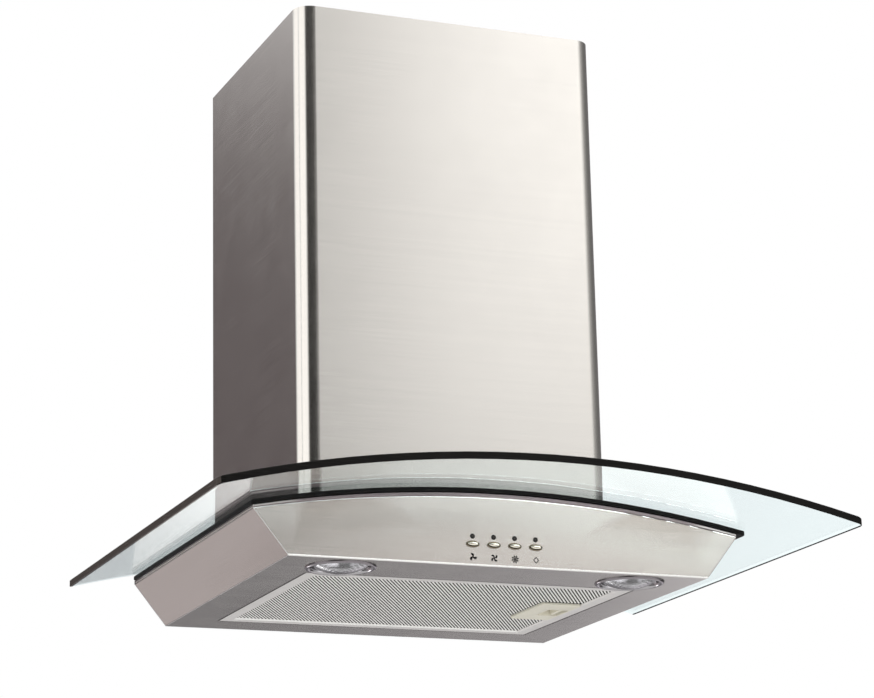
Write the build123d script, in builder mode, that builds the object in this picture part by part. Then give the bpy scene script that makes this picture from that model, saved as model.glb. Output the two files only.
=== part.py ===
from build123d import *
import math
import os

os.makedirs("parts", exist_ok=True)

# ---------------------------------------------------------------- dimensions
# Frame: origin on the wall plane, at the middle of the hood's lower rear edge.
# +X to the right, +Y into the wall, +Z up.  Millimetres.
SHEET = 1.0            # stainless sheet of the canopy body and chimney

# canopy body (lower steel housing)
BODY_W = 402.0         # width of the underside
BODY_TW = 466.0        # width at the upper fold
BODY_D = 367.0         # depth, wall to front face
BACK_T = 1.2           # thickness of the rear closing panel
R_FASCIA = 1262.0      # arch of the fascia's upper fold
Z_FASCIA = 62.0        # height of that fold at the middle

# bent glass canopy
GLASS_W = 600.0
GLASS_FRONT = 481.0    # distance of its front edge from the wall
GLASS_REAR = 11.5      # distance of its rear edge from the wall
GLASS_T = 6.5
R_GLASS = 1194.0       # inner (lower) bending radius
Z_GLASS = 70.0         # underside at the crown
GLASS_CORNER = 7.0
NOTCH_W = 268.0
NOTCH_D = 226.0        # front edge of the rear notch, from the wall
ZC = Z_GLASS - R_GLASS     # height of the bending axis

SEAL_T = 4.0           # rubber seal under the glass
SEAL_L, SEAL_R = 233.8, 241.5   # it reaches further past the body on the right, where its corner shows
R_DECK = R_GLASS - SEAL_T  # top of the upper deck sheet

# chimney
CH_W = 305.0
CH_D = 267.8
CH_TOP = 551.5
CH_R = 17.0
EXT_GAP = 0.6
EXT_T = 0.8
EXT_LOW = 252.0
EXT_TOP = 550.5
EXT_TRAVEL = 250.0

# grease filter
F_W = 321.2
F_D = 254.7
F_Y = -169.5
F_H = 9.0
F_BORDER = 13.0
F_GAP = 1.1
HINGE_X = -160.0
HINGE_Z = 0.5

# lamps
LAMP_X = 140.0
LAMP_Y = -329.5
LAMP_R = 32.0

# push buttons
BTN_X = (-29.9, -9.7, 10.4, 30.6)
BTN_Z = 19.2
LED_Z = 26.3
BTN_TRAVEL = 2.0

# blower
BOX_W = 236.0
BOX_FRONT = 208.0
BOX_REAR = 2.0
BOX_TOP = 282.0
AX_Y, AX_Z = -90.0, 168.0
DUCT_Y = -130.0
DUCT_R = 75.0

BIG = 2000.0


def save(part, name):
    part.label = name
    export_step(part, f"parts/{name}.step")


def arc_z(r, zc, x):
    return zc + math.sqrt(r * r - x * x)


ZCF = Z_FASCIA - R_FASCIA
TOP_X = BODY_TW / 2
TOP_Z = arc_z(R_FASCIA, ZCF, TOP_X)
TAN = (TOP_X - BODY_W / 2) / TOP_Z
COS = 1 / math.sqrt(1 + TAN * TAN)


def side_x(z, t):
    """Half width of the flared side at height z, t inside its outer face."""
    return BODY_W / 2 + z * TAN - t / COS


def meet(r, zc, t):
    """Where the flared side (t inside) meets an arch."""
    z = TOP_Z
    for _ in range(40):
        z = arc_z(r, zc, side_x(z, t))
    return side_x(z, t), z


def yz(dist):
    return Plane.YZ.offset(dist)


# ---------------------------------------------------------------- canopy body
# One folded tray: underside, front fascia and two flared sides, with a
# 14 mm inward flange along the arched top.
xi, zi = meet(R_FASCIA - SHEET, ZCF, SHEET)
xb = side_x(SHEET, SHEET)
with BuildPart() as canopy_shell:
    with BuildSketch(Plane.XZ.offset(BACK_T)):
        with BuildLine():
            Line((-BODY_W / 2, 0), (BODY_W / 2, 0))
            Line((BODY_W / 2, 0), (TOP_X, TOP_Z))
            ThreePointArc((TOP_X, TOP_Z), (0, Z_FASCIA), (-TOP_X, TOP_Z))
            Line((-TOP_X, TOP_Z), (-BODY_W / 2, 0))
        make_face()
    extrude(amount=BODY_D - BACK_T)
    low = canopy_shell.faces().sort_by(Axis.Z)[0]
    folds = low.edges().sort_by(Axis.Y)[:-1]
    fillet(folds, 1.6)
    uprights = [e for e in canopy_shell.edges()
                if e.bounding_box().size.Z > 30 and e.bounding_box().size.Y < 3
                and e.center().Y < -BODY_D + 4]
    brow = [e for e in canopy_shell.edges() if e.center().Z > TOP_Z - 2 and e.center().Y < -20
            and e.bounding_box().size.Z < 30]
    fillet(uprights + brow, 0.95)
    with BuildSketch(Plane.XZ.offset(BACK_T)):
        with BuildLine():
            Line((-xb, SHEET), (xb, SHEET))
            Line((xb, SHEET), (xi, zi))
            ThreePointArc((xi, zi), (0, Z_FASCIA - SHEET), (-xi, zi))
            Line((-xi, zi), (-xb, SHEET))
        make_face()
    extrude(amount=BODY_D - BACK_T - SHEET, mode=Mode.SUBTRACT)
    # access from above: leaves the seal flange
    with BuildSketch(Plane.XY.offset(30)):
        with Locations((0, -(BODY_D - 14) / 2 + 1)):
            Rectangle(2 * (TOP_X - 15), BODY_D - 14 + 2)
    extrude(amount=60, mode=Mode.SUBTRACT)
    # filter opening and lamp holes in the underside
    with BuildSketch(Plane.XY.offset(-1)):
        with Locations((0, F_Y)):
            RectangleRounded(F_W + 2 * F_GAP, F_D + 2 * F_GAP, 1.5)
        with Locations((-LAMP_X, LAMP_Y), (LAMP_X, LAMP_Y)):
            Circle(29.5)
    extrude(amount=3, mode=Mode.SUBTRACT)
    # button and indicator holes in the fascia
    with BuildSketch(Plane.XZ.offset(BODY_D + 1)):
        with Locations(*[(x, BTN_Z) for x in BTN_X]):
            Ellipse(6.0, 2.6)
        with Locations(*[(x, LED_Z) for x in BTN_X]):
            Circle(1.9)
    extrude(amount=-3, mode=Mode.SUBTRACT)
    # butt seams at the two front corners
    for s in (-1, 1):
        with BuildSketch(Plane.XZ.offset(BODY_D - 1.35)):
            with BuildLine():
                Polyline((s * (side_x(1.0, 0.35)), 1.0), (s * (side_x(1.0, -1.0)), 1.0),
                         (s * (side_x(TOP_Z + 1, -1.0)), TOP_Z + 1),
                         (s * (side_x(TOP_Z + 1, 0.35)), TOP_Z + 1),
                         (s * (side_x(1.0, 0.35)), 1.0))
            make_face()
        extrude(amount=0.25, mode=Mode.SUBTRACT)
save(canopy_shell.part, "canopy_shell")

with BuildPart() as back_panel:
    with BuildSketch(Plane.XZ):
        with BuildLine():
            Line((-BODY_W / 2, 0), (BODY_W / 2, 0))
            Line((BODY_W / 2, 0), (TOP_X, TOP_Z))
            ThreePointArc((TOP_X, TOP_Z), (0, Z_FASCIA), (-TOP_X, TOP_Z))
            Line((-TOP_X, TOP_Z), (-BODY_W / 2, 0))
        make_face()
        with Locations((-170, 24), (170, 24)):
            Circle(3.0, mode=Mode.SUBTRACT)
    extrude(amount=BACK_T)
save(back_panel.part, "back_panel")

# axes of the four glass screws: square to the bent glass, inside the chimney's footprint
HOLES = ((-141.8, -240), (141.8, -240), (-141.8, -40), (141.8, -40))
HOLE_PLANES = [Plane(origin=(gx, gy, arc_z(R_DECK, ZC, gx)),
                     z_dir=(gx, 0, math.sqrt(R_DECK ** 2 - gx ** 2))) for gx, gy in HOLES]

# upper deck: arched sheet with a turned-down rim that shows as a thin lip
DK = TOP_X - 0.3
with BuildPart() as deck_whole:
    with BuildSketch(Plane.XZ.offset(0.3)):
        with BuildLine():
            ThreePointArc((-DK, arc_z(R_FASCIA, ZCF, DK)), (0, Z_FASCIA), (DK, arc_z(R_FASCIA, ZCF, DK)))
            Line((DK, arc_z(R_FASCIA, ZCF, DK)), (DK, arc_z(R_DECK, ZC, DK)))
            ThreePointArc((DK, arc_z(R_DECK, ZC, DK)), (0, ZC + R_DECK), (-DK, arc_z(R_DECK, ZC, DK)))
            Line((-DK, arc_z(R_DECK, ZC, DK)), (-DK, arc_z(R_FASCIA, ZCF, DK)))
        make_face()
    extrude(amount=BODY_D - 0.6)
    fillet([e for e in deck_whole.edges() if e.center().Y < -20], 0.95)
    with BuildSketch(Plane.XZ.offset(0.3 + SHEET)):
        with BuildLine():
            ThreePointArc((-DK + 1, 20), (0, 40), (DK - 1, 20))
            Line((DK - 1, 20), (DK - 1, arc_z(R_DECK - SHEET, ZC, DK - 1)))
            ThreePointArc((DK - 1, arc_z(R_DECK - SHEET, ZC, DK - 1)), (0, ZC + R_DECK - SHEET),
                          (-DK + 1, arc_z(R_DECK - SHEET, ZC, DK - 1)))
            Line((-DK + 1, arc_z(R_DECK - SHEET, ZC, DK - 1)), (-DK + 1, 20))
        make_face()
    extrude(amount=BODY_D - 0.6 - 2 * SHEET, mode=Mode.SUBTRACT)
    with BuildSketch(Plane.XY.offset(30)):
        with Locations((0, -105.5)):
            RectangleRounded(232, 199, 6)
        with Locations((-124, -200), (-124, -110), (-124, -20), (124, -200), (124, -110), (124, -20)):
            Circle(2.0)
    extrude(amount=60, mode=Mode.SUBTRACT)
    for gn in HOLE_PLANES:
        with BuildSketch(gn.offset(-4)):
            Circle(2.7)
        extrude(amount=8, mode=Mode.SUBTRACT)
# the folded rim and the sheet it surrounds
for name, mode in (("top_deck", Mode.INTERSECT), ("deck_rim", Mode.SUBTRACT)):
    with BuildPart() as deck:
        add(deck_whole.part)
        with BuildSketch(Plane.XY.offset(10)):
            with Locations((0, -BODY_D / 2)):
                Rectangle(2 * (DK - SHEET), BODY_D - 0.6 - 2 * SHEET)
        extrude(amount=90, mode=mode)
    save(deck.part, name)

# ---------------------------------------------------------------- glass
with BuildPart() as glass_seal:
    with BuildSketch(Plane.XZ.offset(2)):
        with BuildLine():
            ThreePointArc((-SEAL_L, arc_z(R_DECK, ZC, SEAL_L)), (0, ZC + R_DECK), (SEAL_R, arc_z(R_DECK, ZC, SEAL_R)))
            Line((SEAL_R, arc_z(R_DECK, ZC, SEAL_R)), (SEAL_R, arc_z(R_GLASS, ZC, SEAL_R)))
            ThreePointArc((SEAL_R, arc_z(R_GLASS, ZC, SEAL_R)), (0, Z_GLASS), (-SEAL_L, arc_z(R_GLASS, ZC, SEAL_L)))
            Line((-SEAL_L, arc_z(R_GLASS, ZC, SEAL_L)), (-SEAL_L, arc_z(R_DECK, ZC, SEAL_L)))
        make_face()
    extrude(amount=BODY_D - 0.6)
    corner = [e for e in glass_seal.edges() if e.bounding_box().size.Z < 5 and e.bounding_box().size.Z > 3
              and e.bounding_box().size.X < 1 and e.bounding_box().size.Y < 1 and e.center().Y < -300]
    fillet(corner, 4.0)
    # its lower outer edge is rounded off
    under = [e for e in glass_seal.edges() if e.center().Y < -20 and e.bounding_box().size.Z < 30
             and e.center().Z < arc_z(R_DECK, ZC, e.center().X) + 0.5 and not (e.bounding_box().size.Z > 3
             and e.bounding_box().size.X < 1 and e.bounding_box().size.Y < 1)]
    fillet(under, 1.3)
    with BuildSketch(Plane.XY.offset(30)):
        with Locations((0, -(BODY_D - 20) / 2 + 1)):
            Rectangle(2 * (SEAL_L - 17), BODY_D - 20 + 2)
    extrude(amount=60, mode=Mode.SUBTRACT)
save(glass_seal.part, "glass_seal")

GW = GLASS_W / 2
RT = R_GLASS + GLASS_T
with BuildPart() as glass_canopy:
    with BuildSketch(Plane.XZ.offset(GLASS_REAR)):
        with BuildLine():
            ThreePointArc((-GW, arc_z(R_GLASS, ZC, GW)), (0, Z_GLASS), (GW, arc_z(R_GLASS, ZC, GW)))
            Line((GW, arc_z(R_GLASS, ZC, GW)), (GW, arc_z(RT, ZC, GW)))
            ThreePointArc((GW, arc_z(RT, ZC, GW)), (0, ZC + RT), (-GW, arc_z(RT, ZC, GW)))
            Line((-GW, arc_z(RT, ZC, GW)), (-GW, arc_z(R_GLASS, ZC, GW)))
        make_face()
    extrude(amount=GLASS_FRONT - GLASS_REAR)
    corner = [e for e in glass_canopy.edges() if 4 < e.bounding_box().size.Z < 9
              and e.bounding_box().size.X < 1 and e.bounding_box().size.Y < 1 and e.center().Y < -300]
    fillet(corner, GLASS_CORNER)
    with BuildSketch(Plane.XY.offset(40)):
        with Locations((0, -NOTCH_D / 2 + 20)):
            RectangleRounded(NOTCH_W, NOTCH_D + 40, 16)
    extrude(amount=60, mode=Mode.SUBTRACT)
    for gn in HOLE_PLANES:
        with BuildSketch(gn.offset(1)):
            Circle(5.0)
        extrude(amount=14, mode=Mode.SUBTRACT)
    rims = [e for e in glass_canopy.edges() if e.center().Y < -GLASS_FRONT + 16 and e.bounding_box().size.Z < 45
            and not (4 < e.bounding_box().size.Z < 9 and e.bounding_box().size.X < 1)]
    side_rims = [e for e in glass_canopy.edges() if abs(e.center().X) > GW - 1 and e.bounding_box().size.Y > 300]
    chamfer(side_rims, 0.7)
save(glass_canopy.part, "glass_canopy")

with BuildPart() as glass_grommets:
    for gn in HOLE_PLANES:
        with BuildSketch(gn.offset(0.02)):
            Circle(7.8)
            Circle(2.8, mode=Mode.SUBTRACT)
        extrude(amount=SEAL_T - 0.06)
        with BuildSketch(gn.offset(SEAL_T - 0.05)):
            Circle(4.9)
            Circle(2.8, mode=Mode.SUBTRACT)
        extrude(amount=GLASS_T + 0.06)
        with BuildSketch(gn.offset(SEAL_T + GLASS_T)):
            Circle(7.8)
            Circle(2.8, mode=Mode.SUBTRACT)
        extrude(amount=1.5)
save(glass_grommets.part, "glass_grommets")

with BuildPart() as glass_screws:
    for gn in HOLE_PLANES:
        with BuildSketch(gn.offset(-8)):
            Circle(2.4)
        extrude(amount=8 + SEAL_T + GLASS_T + 1.6)
        with BuildSketch(gn.offset(SEAL_T + GLASS_T + 1.5)):
            Circle(4.8)
        extrude(amount=2.8)
        with BuildSketch(gn.offset(SEAL_T + GLASS_T + 3.0)):
            RegularPolygon(1.9, 6)
        extrude(amount=2, mode=Mode.SUBTRACT)
save(glass_screws.part, "glass_screws")

with BuildPart() as glass_nuts:
    for gn in HOLE_PLANES:
        with BuildSketch(gn.offset(-7.2)):
            RegularPolygon(4.4, 6)
            Circle(2.45, mode=Mode.SUBTRACT)
        extrude(amount=6.0)
save(glass_nuts.part, "glass_nuts")

# ---------------------------------------------------------------- chimney
def u_section(w, d, r, t, rear, lip):
    """Open-backed duct section: front at -d, rear lips at -rear, r at the front corners."""
    with BuildSketch() as sk:
        with Locations((0, -(d + rear) / 2)):
            Rectangle(w, d - rear)
        fillet(sk.vertices().group_by(Axis.Y)[0], r)
        with BuildSketch(mode=Mode.SUBTRACT) as hole:
            with Locations((0, -(d + rear) / 2)):
                Rectangle(w - 2 * t, d - rear - 2 * t)
            fillet(hole.vertices().group_by(Axis.Y)[0], r - t)
        with Locations((0, -rear)):
            Rectangle(w - 2 * lip, 4 * t, mode=Mode.SUBTRACT)
    return sk.sketch


cover_sec = u_section(CH_W, CH_D, CH_R, SHEET, 0.0, 15.5)
with BuildPart() as chimney_cover:
    with BuildSketch(Plane.XY.offset(45)):
        add(cover_sec)
    extrude(amount=CH_TOP - 45)
    with BuildSketch(Plane.XZ.offset(-5)):
        with Locations((0, ZC)):
            Circle(RT + 0.5)
    extrude(amount=300, mode=Mode.SUBTRACT)
save(chimney_cover.part, "chimney_cover")

ext_sec = u_section(CH_W - 2 * SHEET - 2 * EXT_GAP, CH_D - SHEET - EXT_GAP, CH_R - SHEET - EXT_GAP, EXT_T,
                    SHEET + EXT_GAP, 15.5)
with BuildPart() as chimney_extension:
    with BuildSketch(Plane.XY.offset(EXT_LOW)):
        add(ext_sec)
    extrude(amount=EXT_TOP - EXT_LOW)
    with BuildSketch(Plane.YZ.offset(-170)):
        with Locations(*[(y, z) for y in (-196, -132, -68) for z in (486, 496, 506, 516)]):
            SlotOverall(46, 4.2)
    extrude(amount=340, mode=Mode.SUBTRACT)
save(chimney_extension.part, "chimney_extension")

with BuildPart() as chimney_brackets:
    for s in (-1, 1):
        with BuildSketch(Plane.XZ.offset(30)):
            with BuildLine():
                Polyline((s * 118, 186), (s * 119.5, 186), (s * 119.5, 200), (s * 150, 200), (s * 150, 186),
                         (s * 151.5, 186), (s * 151.5, 201.5), (s * 118, 201.5), (s * 118, 186))
            make_face()
        extrude(amount=30)
save(chimney_brackets.part, "chimney_brackets")

with BuildPart() as flue_wall_bracket:
    with BuildSketch(Plane.XY.offset(500)):
        with BuildLine():
            Polyline((-128, 0), (-128, -28), (-126.5, -28), (-126.5, -2), (126.5, -2), (126.5, -28),
                     (128, -28), (128, 0), (-128, 0))
        make_face()
    extrude(amount=30)
    with BuildSketch(Plane.XZ.offset(-1)):
        with Locations((-90, 515), (90, 515)):
            Circle(3.0)
    extrude(amount=4, mode=Mode.SUBTRACT)
    with BuildSketch(Plane.YZ.offset(-140)):
        with Locations((-18, 515)):
            Circle(2.2)
    extrude(amount=280, mode=Mode.SUBTRACT)
save(flue_wall_bracket.part, "flue_wall_bracket")

with BuildPart() as hanger_plate:
    with BuildSketch(Plane.XZ):
        with Locations((0, 165)):
            RectangleRounded(260, 46, 6)
        with Locations((-100, 165), (100, 165)):
            Circle(4.0, mode=Mode.SUBTRACT)
    extrude(amount=2)
save(hanger_plate.part, "hanger_plate")

# ---------------------------------------------------------------- blower box
BY = -(BOX_FRONT + BOX_REAR) / 2
BD = BOX_FRONT - BOX_REAR
with BuildPart() as blower_box:
    with BuildSketch(Plane.XY.offset(50)):
        with Locations((0, BY)):
            RectangleRounded(BOX_W, BD, 3)
    extrude(amount=BOX_TOP - SHEET - 50)
    with BuildSketch(Plane.XY.offset(49)):
        with Locations((0, BY)):
            RectangleRounded(BOX_W - 2, BD - 2, 2)
    extrude(amount=BOX_TOP - 48, mode=Mode.SUBTRACT)
    with BuildSketch(Plane.XZ.offset(-5)):
        with Locations((0, ZC)):
            Circle(R_DECK)
    extrude(amount=300, mode=Mode.SUBTRACT)
    with BuildSketch(Plane.XZ.offset(-1)):
        with Locations((-100, 165), (100, 165)):
            Circle(8.5)
    extrude(amount=6, mode=Mode.SUBTRACT)
save(blower_box.part, "blower_box")

with BuildPart() as blower_box_top:
    with BuildSketch(Plane.XY.offset(BOX_TOP - SHEET)):
        with Locations((0, BY)):
            RectangleRounded(BOX_W, BD, 3)
        with Locations((0, DUCT_Y)):
            Circle(72.0, mode=Mode.SUBTRACT)
        with Locations((92, -36)):
            Circle(8.2, mode=Mode.SUBTRACT)
    extrude(amount=SHEET)
save(blower_box_top.part, "blower_box_top")

# arched frame that the box stands in, spot-welded to its foot and screwed to the deck
with BuildPart() as blower_foot_frame:
    with BuildSketch(Plane.XZ.offset(BOX_REAR)):
        with BuildLine():
            ThreePointArc((-130, arc_z(R_DECK, ZC, 130)), (0, ZC + R_DECK), (130, arc_z(R_DECK, ZC, 130)))
            Line((130, arc_z(R_DECK, ZC, 130)), (130, arc_z(R_DECK + 1, ZC, 130)))
            ThreePointArc((130, arc_z(R_DECK + 1, ZC, 130)), (0, ZC + R_DECK + 1), (-130, arc_z(R_DECK + 1, ZC, 130)))
            Line((-130, arc_z(R_DECK + 1, ZC, 130)), (-130, arc_z(R_DECK, ZC, 130)))
        make_face()
    extrude(amount=220 - BOX_REAR)
    with BuildSketch(Plane.XY.offset(40)):
        with Locations((0, BY + 5)):
            RectangleRounded(BOX_W + 0.04, BD + 10.04, 3)
        with Locations((-124, -200), (-124, -110), (-124, -20), (124, -200), (124, -110), (124, -20)):
            Circle(2.0)
    extrude(amount=60, mode=Mode.SUBTRACT)
save(blower_foot_frame.part, "blower_foot_frame")

with BuildPart() as blower_box_screws:
    zs = arc_z(R_DECK + 1, ZC, 124)
    with BuildSketch(Plane.XY.offset(zs - 8)):
        with Locations((-124, -200), (-124, -110), (-124, -20), (124, -200), (124, -110), (124, -20)):
            Circle(1.9)
    extrude(amount=9)
    with BuildSketch(Plane.XY.offset(zs + 0.45)):
        with Locations((-124, -200), (-124, -110), (-124, -20), (124, -200), (124, -110), (124, -20)):
            Circle(3.6)
    extrude(amount=2.3)
save(blower_box_screws.part, "blower_box_screws")


def scroll_line(t):
    """Spiral outline of the fan housing, t inside its outer face (y, z pairs)."""
    pts = []
    n = 16
    for i in range(n + 1):
        a = 85 - 265 * i / n
        r = 74 + 21 * (85 - a) / 265 - t
        pts.append((AX_Y + r * math.cos(math.radians(a)), AX_Z + r * math.sin(math.radians(a))))
    return pts


NECK_TOP = BOX_TOP - SHEET
for side, name in ((1, "scroll_right"), (-1, "scroll_left")):
    outer = scroll_line(0)
    inner = scroll_line(2.0)
    with BuildPart() as scroll:
        with BuildSketch(Plane.YZ):
            with BuildLine():
                Line((outer[0][0], NECK_TOP), outer[0])
                Spline(*outer)
                Line(outer[-1], (outer[-1][0], NECK_TOP))
                Line((outer[-1][0], NECK_TOP), (outer[0][0], NECK_TOP))
            make_face()
        extrude(amount=side * 50)
        with BuildSketch(Plane.YZ):
            with BuildLine():
                Line((inner[0][0], NECK_TOP + 1), inner[0])
                Spline(*inner)
                Line(inner[-1], (inner[-1][0], NECK_TOP + 1))
                Line((inner[-1][0], NECK_TOP + 1), (inner[0][0], NECK_TOP + 1))
            make_face()
        extrude(amount=side * 48, mode=Mode.SUBTRACT)
        with BuildSketch(Plane.YZ.offset(side * 40)):
            with Locations((AX_Y, AX_Z)):
                Circle(54.0)
        extrude(amount=side * 20, mode=Mode.SUBTRACT)
    save(scroll.part, name)

with BuildPart() as motor_bracket:
    with BuildSketch(Plane.YZ.offset(50)):
        with Locations((AX_Y, AX_Z)):
            Circle(66)
            Circle(54, mode=Mode.SUBTRACT)
            Circle(42)
            with PolarLocations(49, 3, start_angle=90):
                Rectangle(16, 12)
            Circle(38.0, mode=Mode.SUBTRACT)
            with PolarLocations(60, 6, start_angle=30):
                Circle(2.0, mode=Mode.SUBTRACT)
    extrude(amount=2)
save(motor_bracket.part, "motor_bracket")

with BuildPart() as motor:
    with BuildSketch(Plane.YZ.offset(10)):
        with Locations((AX_Y, AX_Z)):
            Circle(37.9)
    extrude(amount=54)
    fillet(motor.edges().filter_by(GeomType.CIRCLE), 5)
    with BuildSketch(Plane.YZ.offset(6)):
        with Locations((AX_Y, AX_Z)):
            Circle(11)
    extrude(amount=62)
    with BuildSketch(Plane.YZ.offset(0)):
        with Locations((AX_Y, AX_Z)):
            Circle(4.06)
    extrude(amount=80, mode=Mode.SUBTRACT)
    with BuildSketch(Plane.YZ.offset(60)):
        with Locations((AX_Y, AX_Z)):
            with PolarLocations(26, 8):
                SlotOverall(12, 3.4)
    extrude(amount=10, mode=Mode.SUBTRACT)
save(motor.part, "motor")

with BuildPart() as motor_shaft:
    with BuildSketch(Plane.YZ.offset(-15)):
        with Locations((AX_Y, AX_Z)):
            Circle(4.0)
    extrude(amount=87)
    chamfer(motor_shaft.edges().filter_by(GeomType.CIRCLE), 0.5)
save(motor_shaft.part, "motor_shaft")

# fan wheel: hub and disc, blades pushed through slots in the disc, two end rings
with BuildPart() as impeller_disc:
    with BuildSketch(Plane.YZ.offset(-1)):
        with Locations((AX_Y, AX_Z)):
            Circle(67.5)
    extrude(amount=2)
    with BuildSketch(Plane.YZ.offset(-13)):
        with Locations((AX_Y, AX_Z)):
            Circle(10)
    extrude(amount=17)
    with BuildSketch(Plane.YZ.offset(-14)):
        with Locations((AX_Y, AX_Z)):
            Circle(4.0)
    extrude(amount=20, mode=Mode.SUBTRACT)
    with BuildSketch(Plane.YZ.offset(-2)):
        with Locations((AX_Y, AX_Z)):
            with PolarLocations(61.5, 32):
                Rectangle(10, 1.3, rotation=34)
    extrude(amount=4, mode=Mode.SUBTRACT)
save(impeller_disc.part, "impeller_disc")

with BuildPart() as fan_blades:
    with BuildSketch(Plane.YZ.offset(-41)):
        with Locations((AX_Y, AX_Z)):
            with PolarLocations(61.5, 32):
                Rectangle(10, 1.3, rotation=34)
    extrude(amount=82)
save(fan_blades.part, "fan_blades")

with BuildPart() as fan_rings:
    for o in (-43, 41):
        with BuildSketch(Plane.YZ.offset(o)):
            with Locations((AX_Y, AX_Z)):
                Circle(68)
                Circle(56, mode=Mode.SUBTRACT)
        extrude(amount=2)
save(fan_rings.part, "fan_rings")

with BuildPart() as run_capacitor:
    with BuildSketch(Plane.XY.offset(120)):
        with Locations((-90, -191.9)):
            Circle(15)
    extrude(amount=58)
    fillet(run_capacitor.edges().sort_by(Axis.Z)[0], 2)
    with BuildSketch(Plane.XY.offset(178)):
        with Locations((-95, -191.9), (-85, -191.9)):
            Rectangle(1, 6)
    extrude(amount=8)
save(run_capacitor.part, "run_capacitor")

with BuildPart() as collar_plate:
    with BuildSketch(Plane.XY.offset(BOX_TOP)):
        with Locations((0, DUCT_Y)):
            Circle(DUCT_R + 11)
            Circle(DUCT_R - 1.6, mode=Mode.SUBTRACT)
            with PolarLocations(DUCT_R + 6, 4, start_angle=45):
                Circle(2.0, mode=Mode.SUBTRACT)
        with Locations((0, -BOX_FRONT + 0.5 - 30)):
            Rectangle(200, 60, mode=Mode.SUBTRACT)
    extrude(amount=2.0)
save(collar_plate.part, "collar_plate")

with BuildPart() as outlet_collar:
    with BuildSketch(Plane.XY.offset(BOX_TOP + 2)):
        with Locations((0, DUCT_Y)):
            Circle(DUCT_R)
            Circle(DUCT_R - 1.6, mode=Mode.SUBTRACT)
    extrude(amount=44)
    # seat ring that the flaps lie on
    with BuildSketch(Plane.XY.offset(BOX_TOP + 8)):
        with Locations((0, DUCT_Y)):
            Circle(DUCT_R - 1.6)
            Circle(DUCT_R - 6.5, mode=Mode.SUBTRACT)
    extrude(amount=1.6)
save(outlet_collar.part, "outlet_collar")

FLAP_Z = BOX_TOP + 12.5
with BuildPart() as damper_bar:
    with BuildSketch(Plane.XY.offset(BOX_TOP + 9.6)):
        with Locations((0, DUCT_Y)):
            Rectangle(144, 2.4)
            with Locations((-68.6, 0), (68.6, 0)):
                Rectangle(2.6, 14)
    extrude(amount=7)
    with BuildSketch(Plane.YZ.offset(-72)):
        with Locations((DUCT_Y - 4.2, FLAP_Z), (DUCT_Y + 4.2, FLAP_Z)):
            Circle(1.25)
    extrude(amount=144, mode=Mode.SUBTRACT)
    with BuildSketch(Plane.XY.offset(BOX_TOP + 9.6)):
        with Locations((0, DUCT_Y)):
            Rectangle(134, 2.4)
    extrude(amount=7)
save(damper_bar.part, "damper_bar")

for s, name in ((-1, "damper_flap_front"), (1, "damper_flap_rear")):
    with BuildPart() as flap:
        with BuildSketch(Plane.XY.offset(FLAP_Z - 2.4)):
            with Locations((0, DUCT_Y)):
                Circle(DUCT_R - 3.4)
            with Locations((0, DUCT_Y - s * 80 + s * 5.0)):
                Rectangle(200, 160, mode=Mode.SUBTRACT)
            with Locations((-72, DUCT_Y + s * 4), (72, DUCT_Y + s * 4)):
                Rectangle(11.2, 10.2, mode=Mode.SUBTRACT)
        extrude(amount=1.2)
        with BuildSketch(Plane.YZ.offset(-66)):
            with Locations((DUCT_Y + s * 4.2, FLAP_Z)):
                Circle(1.8)
        extrude(amount=132)
        with BuildSketch(Plane.YZ.offset(-69.6)):
            with Locations((DUCT_Y + s * 4.2, FLAP_Z)):
                Circle(1.2)
        extrude(amount=139.2)
    save(flap.part, name)

with BuildPart() as cable_gland:
    with BuildSketch(Plane.XY.offset(BOX_TOP)):
        with Locations((92, -36)):
            RegularPolygon(12, 6)
    extrude(amount=5)
    with BuildSketch(Plane.XY.offset(BOX_TOP - 10)):
        with Locations((92, -36)):
            Circle(8.0)
    extrude(amount=10)
    with BuildSketch(Plane.XY.offset(BOX_TOP + 5)):
        with Locations((92, -36)):
            Circle(9.5)
    extrude(amount=9)
    fillet(cable_gland.edges().filter_by(GeomType.CIRCLE).sort_by(Axis.Z)[-1], 2.5)
    with BuildSketch(Plane.XY.offset(BOX_TOP - 12)):
        with Locations((92, -36)):
            Circle(4.0)
    extrude(amount=40, mode=Mode.SUBTRACT)
save(cable_gland.part, "cable_gland")

# terminal box on the right flank of the blower box
with BuildPart() as terminal_box:
    with BuildSketch(Plane.YZ.offset(118)):
        with Locations((-140, 130)):
            RectangleRounded(100, 80, 4)
    extrude(amount=24)
    with BuildSketch(Plane.YZ.offset(120)):
        with Locations((-140, 130)):
            RectangleRounded(96, 76, 3)
    extrude(amount=30, mode=Mode.SUBTRACT)
save(terminal_box.part, "terminal_box")
with BuildPart() as terminal_box_lid:
    with BuildSketch(Plane.YZ.offset(142)):
        with Locations((-140, 130)):
            RectangleRounded(100, 80, 4)
    extrude(amount=2)
    fillet(terminal_box_lid.edges().filter_by(Plane.YZ).sort_by(Axis.X)[-8:], 1.0)
save(terminal_box_lid.part, "terminal_box_lid")
with BuildPart() as terminal_block:
    with BuildSketch(Plane.YZ.offset(120)):
        with Locations((-140, 130)):
            Rectangle(60, 22)
    extrude(amount=14)
    with BuildSketch(Plane.YZ.offset(128)):
        with Locations(*[(-140 + 12 * i, 130 + dz) for i in (-2, -1, 0, 1, 2) for dz in (-6, 6)]):
            Circle(2.4)
    extrude(amount=10, mode=Mode.SUBTRACT)
save(terminal_block.part, "terminal_block")

with BuildPart() as lamp_transformer:
    with BuildSketch(Plane.XY.offset(SHEET)):
        with Locations((-183, -170)):
            RectangleRounded(28, 110, 3)
    extrude(amount=26)
    fillet(lamp_transformer.faces().sort_by(Axis.Z)[-1].edges(), 1.5)
save(lamp_transformer.part, "lamp_transformer")

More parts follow.
